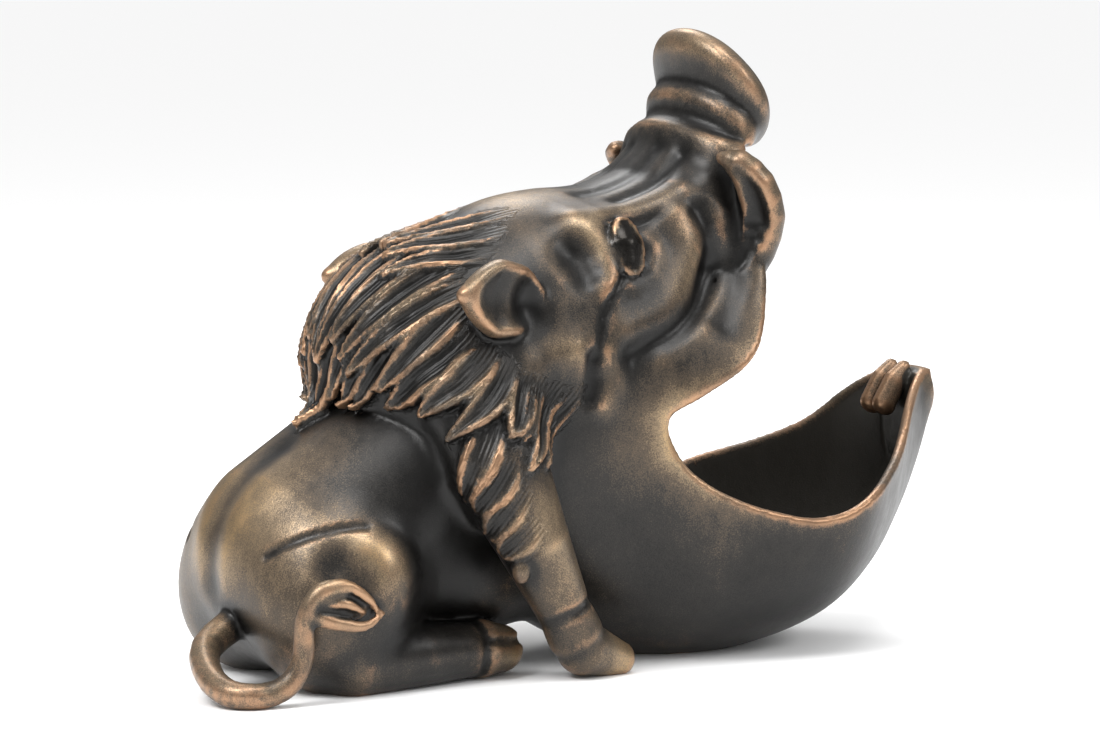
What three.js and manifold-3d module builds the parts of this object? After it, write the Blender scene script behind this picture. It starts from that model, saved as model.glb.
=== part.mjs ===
// Sitting warthog dish: one hollow-mouthed casting, its lower jaw drawn out into a scoop.
// Lengths are millimetres, +X towards the snout, +Y to the animal's left, +Z up.
// The shape is a distance field: simple forms are blended together, the mouth is hollowed out,
// folds and mane locks are laid over it, and the field's zero surface is faceted.
// Both sides are alike, so forms are placed by [x, side, z] with side = |y|; only the tail is not.
import * as THREE from 'three';
import Module from 'manifold-3d';
import { mergeVertices } from 'three/addons/utils/BufferGeometryUtils.js';

// Driving dimensions
const JAW_WALL = 4.6;
const LIP_ROUNDING = 2.5;
const MOUTH_ROUNDING = 14;
const TIP_THICKNESS_STARTS_AT = 150;
const BACK_WALL_BOW = 20;
const BACK_WALL_HALF_WIDTH = 55;
const BRONZE_BROWN = 0x3a3029;
const BRONZE_ROUGHNESS = 0.4;
const BRONZE_METALNESS = 0.6;

// Sampling of the field, and its facets
const FIELD_LOW = [-168, -86, -8];
const FIELD_HIGH = [172, 86, 234];
const GRID = 2.2;
const BLOCK = 3;
const FAR_FROM_SURFACE = 12;
const FACET_COUNT = 9300;
const CORNER_MARGIN = 0.14;
const AREA_FAIRNESS = 0.5;
const THINNEST_FACET = 0.12;
const THINNING_LIMIT = 0.7;
const LARGEST_TURN = 0.35;
const PULL_TO_MIDDLE = 1e-3;
const COLLAPSE_TRIES = 6;
const RETRY_COST = 1e-3;
const TINY = 1e-6;

// Steps of the curves, and how far past its path a feature works
const OUTLINE_STEPS = 5;
const WIDTH_STEPS = 12;
const FOLD_STEPS = 4;
const FOLD_REACH = 2.2;
const TUSK_STEPS = 2;
const TAIL_STEPS = 3;
const FORM_MARGIN = 6;
const LOCK_MARGIN = 4;
const SLOPE_STEP = 0.5;
const SETTLE_ROUNDS = 3;
const LEAST_SETTLE_SLOPE = 0.25;

// Scoop of the lower jaw: half width along x, and a keel of two quarter ellipses
const SCOOP_HALF_WIDTH = [
  [-60, 40], [-25, 48], [10, 55], [40, 66], [70, 72], [95, 69], [118, 49], [138, 27], [152, 14], [162, 8],
];
const SCOOP = { keelX: 45, rimZ: 89, sunk: 3, front: 115.5, rear: 95, crown: 44, backX: -30, tipX: 158 };
const SCOOP_ROUNDNESS = 2.3;
const SCOOP_END = 0.9995;
const SCOOP_LEAST_DEPTH = 0.03;
const SCOOP_LEAST_SLOPE = 0.004;
const SCOOP_TIP = { centre: [152, 0, 87], radii: [10.5, 12, 9] };

// Side view of the open mouth: the edge of the lips, and the back of the hollow
const LIP_EDGE = [
  [16, 89], [26, 96.5], [45, 108], [56, 121], [61.5, 134], [62.5, 147], [59, 162], [57, 176], [66, 183],
  [84, 186], [230, 230], [230, 110], [172, 104], [160, 98.5], [152, 95.5], [146, 92], [139, 85.5],
  [130, 75.5], [117, 67.5], [100, 60.5], [84, 54], [70, 52.5], [57, 55], [44, 59], [30, 66], [20, 76],
];
const MOUTH_BACK = [
  [6, 60], [8, 84], [18, 102], [34, 116], [47, 132], [52, 150], [53, 164], [62, 172], [84, 174],
  [230, 230], [230, -40], [20, -40], [8, 20],
];

// Head, blended into the scoop
const CRANIUM = { centre: [-6, 0, 121], radii: [46, 46, 40], pitch: 12 };
const MUZZLE = {
  path: [[20, 0, 137], [43, 0, 154], [58, 0, 177], [66, 0, 196]],
  across: [42, 38, 28, 25],
  deep: [31, 24, 18, 15],
};
const LIP_FLANGE = {
  path: [[58, 28, 176], [62, 35, 152], [59, 40, 134], [46, 43, 112], [30, 45, 98]],
  across: [6, 7, 8, 9, 10],
};
const NOSE_DISC = { centre: [67, 0, 202.5], radii: [10.5, 29.5, 25], pitch: 34 };
const EYEBALL = {
  path: [[7, 37.4, 156], [6.8, 40.3, 149.5], [6.6, 43.6, 142.8]],
  across: [3, 5, 3.4],
  deep: [4, 6.4, 4.4],
};
const LID_RING = {
  centre: [6.6, 42.3, 149.3], front: 6, back: 4.2, tall: 9.6, lean: -0.46, swell: 0.05, steps: 16,
};
const LID_RADIUS = 0.95;
const EAR = { centre: [-44, 47.5, 133], radii: [18, 8, 13], pitch: -8, yaw: -12 };
const EAR_POINT = {
  path: [[-50, 48.5, 134], [-63, 50.5, 135.5]],
  across: [11, 2],
  deep: [5, 2],
  facing: [0, 0, 1],
};
const EAR_HOLLOW_SHIFT = [1, 8.5, 0];
const EAR_RIM = 0.8;
const EAR_REACH = 26;
const EAR_HOLE = { centre: [-34.5, 51, 131.5], radii: [7, 8, 9] };
const TUSK = {
  path: [[57, 34, 136], [61.5, 38.5, 146], [63, 42, 158], [59, 43.5, 169], [53.5, 41.5, 176.5], [49, 37, 179]],
  across: [7.5, 7.8, 8, 7.2, 5.4, 2.4],
};
const TUSK_HOLLOW = {
  path: [[53, 42, 140], [55, 45, 147], [55.5, 48.5, 156], [51.5, 50, 165.5], [47, 47.5, 172.5], [44, 42, 175]],
  across: [0.5, 3, 6.2, 6.4, 5, 2],
};
const TOOTH = {
  path: [[141, 4, 83], [146, 4.1, 92], [150, 4.1, 97]],
  across: [3.4, 3.4, 2.6],
  deep: [5, 4.6, 2.8],
};

// Body and legs
const TORSO = {
  path: [[-95, 0, 42], [-53, 0, 76], [-43, 0, 107], [-15, 0, 122]],
  across: [47, 45, 48, 44],
  deep: [41, 35, 46, 42],
};
const BELLY = { centre: [-48, 0, 40], radii: [55, 38, 30] };
const HAUNCH = { centre: [-103, 30, 30], radii: [27, 25, 31], pitch: -12 };
const KNEE = { centre: [-97, 42, 40], radii: [17, 15, 17] };
const HIND_FOOT = { path: [[-100, 40, 11], [-74, 37, 11], [-49, 33, 10.5]], across: [12, 11, 9.3] };
const FORELEG = {
  path: [[-50, 38, 100], [-50, 50, 78], [-38, 54, 50], [-24, 51, 25], [-19, 50, 16]],
  across: [15, 14, 12, 9.5, 10],
  deep: [24, 18, 13, 9.5, 10],
};
const HIND_HOOF = { path: [[-47, 32.5, 10.5], [-38, 30, 9.5]], across: [10.4, 8.6] };
const FORE_HOOF = { path: [[-15, 49.3, 10.5], [0, 46, 5.2]], across: [9.8, 6.8] };
const DEWCLAW = { centre: [-46, 60, 41], radii: [3, 3.4, 4.6] };

// Tail on the right side, placed by [x, y, z], ending in three small locks
const TAIL = {
  path: [
    [-126, -6, 24], [-143, -14, 16], [-150, -30, 9.5], [-150, -43, 5.5], [-145, -50, 4.5], [-137, -51, 4.8],
    [-130, -52, 8.5], [-126, -53, 17], [-126, -54, 27], [-124, -55, 34], [-120, -56, 38.5], [-114, -57, 39.5],
  ],
  across: [6, 5.4, 4.9, 4.7, 4.5, 4.3, 4, 3.7, 3.5, 3.5, 3.7, 3.4],
};
const TAIL_LOCKS = [
  { path: [[-121, -56, 38], [-113, -58, 40.5], [-105, -59, 36], [-100, -58, 30.5]], thickest: 3 },
  { path: [[-124, -55, 31], [-116, -58, 28], [-106, -59.5, 26.5], [-98, -58, 30.5]], thickest: 3.2 },
  { path: [[-121, -56, 35], [-113, -59, 34.5], [-106, -59, 31]], thickest: 2.6 },
];
const TAIL_LOCK_TIP = 1;
const TAIL_TUFT = { centre: [-112, -56.5, 33.5], radii: [9.5, 2, 5], pitch: -12 };

// Folds of the skin: raised where height is above zero, sunk where it is below
const FOLDS = [
  { name: 'haunch crease', width: 1.3, height: -1.7,
    path: [[-128, 30, 48], [-123, 37, 53], [-114, 43, 57], [-106, 46, 59], [-99, 48, 60]] },
  { name: 'rump cleft', path: [[-112, 0, 84], [-135, 0, 62], [-152, 0, 34]], width: 7, height: -2.4 },
  { name: 'hollow behind knee', path: [[-111, 54, 47], [-106, 56, 44]], width: 7.5, height: -3 },
  { name: 'temple pit', path: [[-13, 43, 149], [-10, 45, 142]], width: 6.5, height: -5 },
  { name: 'orbital ridge', width: 7, height: 3,
    path: [[-8, 32, 160], [-3, 38, 155], [0, 43, 147], [-5, 47, 139]] },
  { name: 'eye socket', path: [[7, 40, 154], [8, 43, 146]], width: 7.5, height: -3.2 },
  { name: 'brow', path: [[4, 33, 161], [20, 32, 164], [34, 31, 168]], width: 7, height: 3 },
  { name: 'under brow', path: [[6, 37, 157], [19, 36, 159], [32, 34, 164]], width: 2.6, height: -1.6 },
  { name: 'eye bag', width: 4.5, height: 1.4,
    path: [[12, 42, 156], [18, 43, 150], [15, 46, 142], [7, 48, 137]] },
  { name: 'cheek', width: 8.5, height: 3,
    path: [[31, 37, 159], [34, 41, 147], [28, 45, 136], [16, 49, 127], [2, 51, 120]] },
  { name: 'cheek valley', width: 5, height: -2.1,
    path: [[39, 36, 160], [42, 41, 144], [35, 46, 131], [21, 52, 120], [4, 53, 114]] },
  { name: 'outer cheek', width: 7.5, height: 1.6,
    path: [[45, 33, 168], [49, 38, 150], [45, 44, 134], [33, 50, 120], [15, 53, 112]] },
  { name: 'lip hollow', width: 4.5, height: -1.2,
    path: [[53, 31, 170], [56, 38, 150], [52, 43, 132], [41, 48, 116]] },
  { name: 'eye crease', width: 1.9, height: -1.3,
    path: [[4, 46, 140], [-4, 49, 131], [-8, 51, 122], [-10, 52, 112]] },
  { name: 'mouth flap', path: [[-6, 51, 112], [-4, 53, 104], [-8, 54, 96]], width: 4.5, height: 1.6 },
  { name: 'flap crease', path: [[-12, 52, 112], [-13, 53, 98]], width: 3, height: -1.8 },
  { name: 'jowl', path: [[-34, 50, 112], [-20, 51, 114]], width: 8, height: 1.6 },
  { name: 'outer snout crease', path: [[14, 24, 166], [28, 23, 171], [40, 21, 180]], width: 3, height: -1.6 },
  { name: 'inner snout crease', path: [[4, 14, 168], [20, 12, 174], [36, 10, 184]], width: 3, height: -1.3 },
];
const SNOUT_ROLLS = [
  { x: 56, z: 180, side: 29, rise: 18 },
  { x: 62, z: 192, side: 27, rise: 16 },
];
const ROLL = { width: 5.5, height: 3, gap: 5, sweep: 1.9, steps: 4, lean: 0.656 };
const ROLL_GROOVE = { width: 0.62, height: -0.6 };
const NOSTRIL = { path: [[75.5, 8, 207], [77, 13, 203]], width: 4.6, height: -6 };
const HOOF_LINES = [
  { name: 'hind hoof split', width: 1.3, height: -2.8,
    path: [[-48, 42.1, 14.4], [-42, 40.3, 13.6], [-36, 37, 12.7], [-30.5, 31.5, 12.3]] },
  { name: 'hind coronet', width: 1.2, height: -1.5,
    path: [[-49.5, 39.6, 2.4], [-49.5, 43.4, 10.5], [-49.5, 39.6, 18.6], [-49.5, 32.8, 21.1]] },
  { name: 'fore hoof split', width: 1.4, height: -2.6,
    path: [[-5.2, 47.3, 16], [2.2, 45.6, 11.7], [6, 44.8, 6], [6.1, 44.7, 1]] },
  { name: 'fetlock crease', width: 1.5, height: -2,
    path: [[-34, 54, 20], [-29, 60, 23], [-20, 60, 27], [-14, 54, 29], [-14, 47, 29]] },
];

// Rows of hair locks: the roots and the tips each run from one point to another
const LOCK_ROWS = [
  { name: 'skirt over the back', roots: [[-56, 2, 151], [-58, 38, 131]], tips: [[-95, 0, 92], [-83, 24, 99]],
    count: 5, half: 6.6, thick: 4.6, lift: 4.5, bend: [0, 4, 3] },
  { name: 'hood', roots: [[-45, 5, 157], [-50, 36, 139]], tips: [[-93, 1, 116], [-86, 19, 110]],
    count: 4, half: 6.4, thick: 4.6, lift: 6, bend: [0, 4, 4] },
  { name: 'crest', roots: [[-24, 16, 160], [-40, 30, 151]], tips: [[-68, 3, 159], [-80, 15, 141]],
    count: 3, half: 5.6, thick: 4.4, lift: 5, bend: [0, 2, 3] },
  { name: 'ruff under the ear', roots: [[-57, 45, 121], [-37, 51, 108]], tips: [[-82, 31, 97], [-51, 57, 85]],
    count: 4, half: 7.4, thick: 4.6, lift: 4, bend: [0, 3, 0] },
  { name: 'beard', roots: [[-32, 51, 107], [-17, 51, 101]], tips: [[-47, 60, 84], [-40, 60, 73]],
    count: 3, half: 4.4, thick: 3.6, lift: 2.5, bend: [0, 2, 0] },
  { name: 'leg feather', roots: [[-55, 56, 92], [-43, 62, 58]], tips: [[-66, 54, 66], [-56, 57, 44]],
    count: 4, half: 7.4, thick: 4.2, lift: 0.8, bend: [0, 3, 0] },
];
const LOCK_STEPS = 8;
const LEAF = { start: 0.16, span: 0.8, power: 0.8, least: 0.14 };
const LOCK_DEPTH = { edge: 0.55, sunk: 0.25, rootSunk: 0.75, rootPower: 4 };
const LOCK_GROOVE = { raised: 0.95, across: 0.62, deep: 0.75 };
const LOCK_VARIETY = { reach: 0.12, reachTurn: 2.3, width: 0.1, widthTurn: 1.9 };

// Widths over which each form is rounded into what it joins or cuts
const BLEND = {
  scoopTip: 6, muzzle: 20, lipFlange: 14, scoop: 16,
  torso: 14, belly: 10, haunch: 12, knee: 5, hindFoot: 4, foreleg: 7, hoof: 0.8, dewclaw: 1,
  mouth: 3, nose: 8, tooth: 0.8, tusk: 1.5, tuskHollow: 2, eye: 1, lid: 1.2,
  earPoint: 7, earCup: 1.5, ear: 2.5, earHole: 6,
  tail: 1.5, tailTuft: 1, tailLock: 0.8, lock: 1.2, lockGroove: 1,
};

// Small vector helpers on [x, y, z]
const add = (a, b) => [a[0] + b[0], a[1] + b[1], a[2] + b[2]];
const sub = (a, b) => [a[0] - b[0], a[1] - b[1], a[2] - b[2]];
const scale = (a, k) => [a[0] * k, a[1] * k, a[2] * k];
const dot = (a, b) => a[0] * b[0] + a[1] * b[1] + a[2] * b[2];
const cross = (a, b) => [a[1] * b[2] - a[2] * b[1], a[2] * b[0] - a[0] * b[2], a[0] * b[1] - a[1] * b[0]];
const unit = (a) => scale(a, 1 / Math.hypot(...a));
const mix = (a, b, t) => add(scale(a, 1 - t), scale(b, t));
const clamp = THREE.MathUtils.clamp;
const degrees = THREE.MathUtils.degToRad;

function smoothUnion(a, b, blend) {
  const near = Math.max(blend - Math.abs(a - b), 0) / blend;
  return Math.min(a, b) - near * near * blend * 0.25;
}

function smoothCut(solid, tool, blend) {
  return -smoothUnion(-solid, tool, blend);
}

function smoothCurve(points, stepsPerSpan, closed = false) {
  const vectors = points.map((p) => new THREE.Vector3(...p));
  const curve = new THREE.CatmullRomCurve3(vectors, closed, 'catmullrom');
  const spans = closed ? points.length : points.length - 1;
  const samples = curve.getPoints(spans * stepsPerSpan).map((v) => v.toArray());
  return closed ? samples.slice(0, -1) : samples;
}

function valuesAlong(values, count) {
  const spans = values.length - 1;
  return Array.from({ length: count }, (_, i) => {
    const t = (i / (count - 1)) * spans;
    const k = Math.min(Math.floor(t), spans - 1);
    return THREE.MathUtils.lerp(values[k], values[k + 1], t - k);
  });
}

// An ellipsoid turned by pitch (nose up) and yaw (nose outwards)
function ellipsoid({ centre, radii, pitch = 0, yaw = 0 }) {
  const [rx, ry, rz] = radii;
  const cp = Math.cos(degrees(pitch));
  const sp = Math.sin(degrees(pitch));
  const cy = Math.cos(degrees(yaw));
  const sy = Math.sin(degrees(yaw));
  const field = (p) => {
    const q = sub(p, centre);
    const flat = q[0] * cp + q[2] * sp;
    const a = (flat * cy + q[1] * sy) / rx;
    const b = (q[1] * cy - flat * sy) / ry;
    const c = (q[2] * cp - q[0] * sp) / rz;
    const inner = Math.sqrt(a * a + b * b + c * c) + TINY;
    const slope = Math.hypot(a / rx, b / ry, c / rz) + TINY;
    return (inner * (inner - 1)) / slope;
  };
  return { field, points: [centre], reach: Math.max(...radii) };
}

// A tapering rod with an oval section along a path; `facing` is the direction of its `across` radius
function limb({ path, across, deep = across, facing = [0, 1, 0] }) {
  const spans = path.slice(1).map((end, i) => {
    const along = sub(end, path[i]);
    const length = Math.hypot(...along);
    const axis = scale(along, 1 / length);
    const want = Array.isArray(facing[0]) ? facing[i] : facing;
    const side = unit(sub(want, scale(axis, dot(want, axis))));
    return { start: path[i], length, axis, side, normal: cross(axis, side), i };
  });
  const spanField = (p, { start, length, axis, side, normal, i }) => {
    const q = sub(p, start);
    const along = dot(q, axis);
    const t = clamp(along / length, 0, 1);
    const ra = across[i] + (across[i + 1] - across[i]) * t;
    const rb = deep[i] + (deep[i + 1] - deep[i]) * t;
    const rc = Math.min(ra, rb);
    const a = dot(q, side) / ra;
    const b = dot(q, normal) / rb;
    const c = (along - t * length) / rc;
    const inner = Math.sqrt(a * a + b * b + c * c) + TINY;
    const slope = Math.hypot(a / ra, b / rb, c / rc) + TINY;
    return (inner * (inner - 1)) / slope;
  };
  const field = (p) => {
    let nearest = Infinity;
    for (const span of spans) nearest = Math.min(nearest, spanField(p, span));
    return nearest;
  };
  return { field, points: path, reach: Math.max(...across, ...deep) };
}

function smoothLimb({ path, across }, stepsPerSpan) {
  const curve = smoothCurve(path, stepsPerSpan);
  return limb({ path: curve, across: valuesAlong(across, curve.length) });
}

// Signed distance to a closed outline in the side view, negative inside
function sideOutline(points) {
  const outline = smoothCurve(points.map(([x, z]) => [x, 0, z]), OUTLINE_STEPS, true);
  return (x, z) => {
    let nearest = Infinity;
    let inside = false;
    outline.forEach((a, i) => {
      const b = outline[(i + 1) % outline.length];
      const ex = b[0] - a[0];
      const ez = b[2] - a[2];
      const t = clamp(((x - a[0]) * ex + (z - a[2]) * ez) / (ex * ex + ez * ez), 0, 1);
      nearest = Math.min(nearest, (x - a[0] - ex * t) ** 2 + (z - a[2] - ez * t) ** 2);
      const crosses = a[2] > z !== b[2] > z;
      if (crosses && x < a[0] + (ex * (z - a[2])) / ez) inside = !inside;
    });
    return Math.sqrt(nearest) * (inside ? -1 : 1);
  };
}

function graph(points) {
  const samples = smoothCurve(points.map(([x, y]) => [x, y, 0]), WIDTH_STEPS);
  return (x) => {
    if (x <= samples[0][0]) return samples[0][1];
    const k = samples.findIndex((p) => p[0] > x);
    if (k < 0) return samples[samples.length - 1][1];
    const [a, b] = [samples[k - 1], samples[k]];
    return a[1] + ((b[1] - a[1]) * (x - a[0])) / (b[0] - a[0]);
  };
}

// The scoop: rounded sections under a straight rim line, closing at the keel and at the crown
const scoopHalfWidth = graph(SCOOP_HALF_WIDTH);
function scoopShape(x, side, z) {
  const reach = x > SCOOP.keelX ? SCOOP.front : SCOOP.rear;
  const t = Math.min(Math.abs(x - SCOOP.keelX) / reach, SCOOP_END);
  const depth = (SCOOP.rimZ + SCOOP.sunk) * Math.max(Math.sqrt(1 - t * t), SCOOP_LEAST_DEPTH);
  const h = z < SCOOP.rimZ ? (SCOOP.rimZ - z) / depth : (z - SCOOP.rimZ) / SCOOP.crown;
  const w = Math.abs(side) / scoopHalfWidth(x);
  return Math.sqrt(w ** SCOOP_ROUNDNESS + h ** SCOOP_ROUNDNESS + TINY) - 1;
}

const scoopTip = ellipsoid(SCOOP_TIP);
function scoop(p) {
  const [x, side, z] = p;
  const e = SLOPE_STEP;
  const dx = scoopShape(x + e, side, z) - scoopShape(x - e, side, z);
  const ds = scoopShape(x, side + e, z) - scoopShape(x, side - e, z);
  const dz = scoopShape(x, side, z + e) - scoopShape(x, side, z - e);
  const slope = Math.hypot(dx, ds, dz) / (2 * e);
  const shell = scoopShape(x, side, z) / Math.max(slope, SCOOP_LEAST_SLOPE);
  const trimmed = Math.max(shell, SCOOP.backX - x, x - SCOOP.tipX);
  return smoothUnion(trimmed, scoopTip.field(p), BLEND.scoopTip);
}

const cranium = ellipsoid(CRANIUM);
const muzzle = limb(MUZZLE);
const lipFlange = limb(LIP_FLANGE);
function jaws(p) {
  let d = smoothUnion(cranium.field(p), muzzle.field(p), BLEND.muzzle);
  d = smoothUnion(d, lipFlange.field(p), BLEND.lipFlange);
  return smoothUnion(d, scoop(p), BLEND.scoop);
}

const torso = limb(TORSO);
const BODY_FORMS = [
  [ellipsoid(BELLY), BLEND.belly], [ellipsoid(HAUNCH), BLEND.haunch], [ellipsoid(KNEE), BLEND.knee],
  [limb(HIND_FOOT), BLEND.hindFoot], [limb(FORELEG), BLEND.foreleg],
];
function bodyAround(p, head) {
  let d = smoothUnion(torso.field(p), head, BLEND.torso);
  for (const [form, blend] of BODY_FORMS) d = smoothUnion(d, form.field(p), blend);
  return d;
}

function bareBody(p) {
  return bodyAround(p, jaws(p));
}

const lipEdge = sideOutline(LIP_EDGE);
const mouthBack = sideOutline(MOUTH_BACK);
function openMouthBody(p) {
  const [x, side, z] = p;
  const head = jaws(p);
  const solid = bodyAround(p, head);
  const lips = lipEdge(x, z);
  const bow = BACK_WALL_BOW * (side / BACK_WALL_HALF_WIDTH) ** 2;
  const back = mouthBack(x - bow, z);
  const hollow = -smoothUnion(-(head + JAW_WALL), -back, MOUTH_ROUNDING);
  const hollowed = smoothCut(solid, Math.max(hollow, x - TIP_THICKNESS_STARTS_AT), BLEND.mouth);
  return smoothCut(hollowed, lips, LIP_ROUNDING);
}

// Features laid over the body one after another, each working only inside its own box
function feature(points, margin, apply) {
  const low = [0, 1, 2].map((k) => Math.min(...points.map((p) => p[k])) - margin);
  const high = [0, 1, 2].map((k) => Math.max(...points.map((p) => p[k])) + margin);
  const covers = (p) => p.every((v, k) => v >= low[k] && v <= high[k]);
  return (p, d) => (covers(p) ? apply(p, d) : d);
}

function addForm(form, blend) {
  return feature(form.points, form.reach + FORM_MARGIN, (p, d) => smoothUnion(d, form.field(p), blend));
}

function squaredDistance(p, path) {
  let nearest = Infinity;
  for (let i = 0; i + 1 < path.length; i += 1) {
    const along = sub(path[i + 1], path[i]);
    const q = sub(p, path[i]);
    const t = clamp(dot(q, along) / dot(along, along), 0, 1);
    const off = sub(q, scale(along, t));
    nearest = Math.min(nearest, dot(off, off));
  }
  return nearest;
}

function foldAlong({ path, width, height }) {
  const curve = path.length > 2 ? smoothCurve(path, FOLD_STEPS) : path;
  const swell = (p) => height * Math.exp(-squaredDistance(p, curve) / width ** 2);
  return feature(curve, width * FOLD_REACH, (p, d) => d - swell(p));
}

function snoutRoll({ x, z, side, rise }) {
  const ahead = [Math.sin(ROLL.lean), 0, Math.cos(ROLL.lean)];
  const path = Array.from({ length: ROLL.steps + 1 }, (_, i) => {
    const angle = (ROLL.sweep * i) / ROLL.steps;
    const up = rise * Math.cos(angle);
    return [x - up * ahead[2], Math.abs(side * Math.sin(angle)), z + up * ahead[0]];
  });
  const groove = {
    path: path.map((p) => add(p, scale(ahead, ROLL.gap))),
    width: ROLL.width * ROLL_GROOVE.width,
    height: ROLL.height * ROLL_GROOVE.height,
  };
  return [foldAlong({ path, width: ROLL.width, height: ROLL.height }), foldAlong(groove)];
}

function ear() {
  const earForm = (inset) => {
    const shrink = (list) => list.map((v) => v - inset);
    const bowl = ellipsoid({ ...EAR, radii: shrink(EAR.radii) });
    const point = limb({ ...EAR_POINT, across: shrink(EAR_POINT.across), deep: shrink(EAR_POINT.deep) });
    return (p) => smoothUnion(bowl.field(p), point.field(p), BLEND.earPoint);
  };
  const outside = earForm(0);
  const hollow = earForm(EAR_RIM);
  const hole = ellipsoid(EAR_HOLE);
  return feature([EAR.centre, ...EAR_POINT.path], EAR_REACH, (p, d) => {
    const cupped = smoothCut(outside(p), hollow(sub(p, EAR_HOLLOW_SHIFT)), BLEND.earCup);
    return smoothCut(smoothUnion(d, cupped, BLEND.ear), hole.field(p), BLEND.earHole);
  });
}

// Hair locks: leaf-shaped blades that follow the body, hollowed down the middle
function surfaceNormal(p) {
  return [0, 1, 2].map((k) => {
    const step = [0, 0, 0];
    step[k] = SLOPE_STEP;
    return (bareBody(add(p, step)) - bareBody(sub(p, step))) / (2 * SLOPE_STEP);
  });
}

function settleOnBody(point) {
  let p = point;
  for (let i = 0; i < SETTLE_ROUNDS; i += 1) {
    const slope = surfaceNormal(p);
    p = sub(p, scale(slope, bareBody(p) / Math.max(dot(slope, slope), LEAST_SETTLE_SLOPE)));
  }
  return { p, normal: unit(surfaceNormal(p)) };
}

function lock(root, tip, { bend, half, thick, lift }) {
  const path = [];
  const normals = [];
  const leaf = [];
  for (let i = 0; i <= LOCK_STEPS; i += 1) {
    const t = i / LOCK_STEPS;
    const { p, normal } = settleOnBody(add(mix(root, tip, t), scale(bend, 4 * t * (1 - t))));
    const sunk = thick * (LOCK_DEPTH.sunk + LOCK_DEPTH.rootSunk * (1 - t) ** LOCK_DEPTH.rootPower);
    path.push(add(p, scale(normal, lift * t * t - sunk)));
    normals.push(normal);
    leaf.push(Math.max(Math.sin(Math.PI * (LEAF.start + LEAF.span * t)) ** LEAF.power, LEAF.least));
  }
  const facing = path.slice(1).map((p, i) => cross(add(normals[i], normals[i + 1]), sub(p, path[i])));
  const across = leaf.map((v) => half * v);
  const deep = leaf.map((v) => thick * (LOCK_DEPTH.edge + (1 - LOCK_DEPTH.edge) * v));
  const blade = limb({ path, across, deep, facing });
  const raised = path.map((p, i) => add(p, scale(normals[i], LOCK_GROOVE.raised * deep[i])));
  const groove = limb({
    path: raised,
    across: across.map((v) => LOCK_GROOVE.across * v),
    deep: deep.map((v) => LOCK_GROOVE.deep * v),
    facing,
  });
  const field = (p) => smoothCut(blade.field(p), groove.field(p), BLEND.lockGroove);
  return feature(path, half + LOCK_MARGIN, (p, d) => smoothUnion(d, field(p), BLEND.lock));
}

function lockRow(row) {
  return Array.from({ length: row.count }, (_, i) => {
    const f = i / (row.count - 1);
    const root = mix(...row.roots, f);
    const reach = 1 + LOCK_VARIETY.reach * Math.cos(LOCK_VARIETY.reachTurn * i + row.half);
    const half = row.half * (1 + LOCK_VARIETY.width * Math.sin(LOCK_VARIETY.widthTurn * i));
    return lock(root, mix(root, mix(...row.tips, f), reach), { ...row, half });
  });
}

// Folds follow the skin: their points are settled on the body first
function skinFold({ path, width, height }) {
  return foldAlong({ path: path.map((point) => settleOnBody(point).p), width, height });
}

function eyelids() {
  const { centre, front, back, tall, lean, swell, steps } = LID_RING;
  const path = Array.from({ length: steps + 1 }, (_, i) => {
    const angle = (2 * Math.PI * i) / steps;
    const x = (Math.cos(angle) > 0 ? front : back) * Math.cos(angle);
    const z = tall * Math.sin(angle);
    return add(centre, [x, lean * z + swell * x, z]);
  });
  return limb({ path, across: path.map(() => LID_RADIUS) });
}

function tuskHollow() {
  const hollow = smoothLimb(TUSK_HOLLOW, TUSK_STEPS);
  return feature(hollow.points, hollow.reach + BLEND.tuskHollow, (p, d) => (
    smoothCut(d, hollow.field(p), BLEND.tuskHollow)
  ));
}

const FEATURES = [
  ...FOLDS.map(skinFold),
  ...SNOUT_ROLLS.flatMap(snoutRoll),
  addForm(ellipsoid(NOSE_DISC), BLEND.nose),
  foldAlong(NOSTRIL),
  addForm(limb(HIND_HOOF), BLEND.hoof),
  addForm(limb(FORE_HOOF), BLEND.hoof),
  addForm(ellipsoid(DEWCLAW), BLEND.dewclaw),
  ...HOOF_LINES.map(foldAlong),
  ...LOCK_ROWS.flatMap(lockRow),
  ear(),
  addForm(limb(EYEBALL), BLEND.eye),
  addForm(eyelids(), BLEND.lid),
  addForm(smoothLimb(TUSK, TUSK_STEPS), BLEND.tusk),
  tuskHollow(),
  addForm(limb(TOOTH), BLEND.tooth),
];
const TAIL_FEATURES = [
  addForm(smoothLimb(TAIL, TAIL_STEPS), BLEND.tail),
  addForm(ellipsoid(TAIL_TUFT), BLEND.tailTuft),
  ...TAIL_LOCKS.map(({ path, thickest }) => (
    addForm(smoothLimb({ path, across: [thickest, TAIL_LOCK_TIP] }, TAIL_STEPS), BLEND.tailLock)
  )),
];

function sculpture(x, y, z) {
  const mirrored = [x, Math.abs(y), z];
  let d = openMouthBody(mirrored);
  for (const apply of FEATURES) d = apply(mirrored, d);
  for (const apply of TAIL_FEATURES) d = apply([x, y, z], d);
  return d;
}

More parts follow.
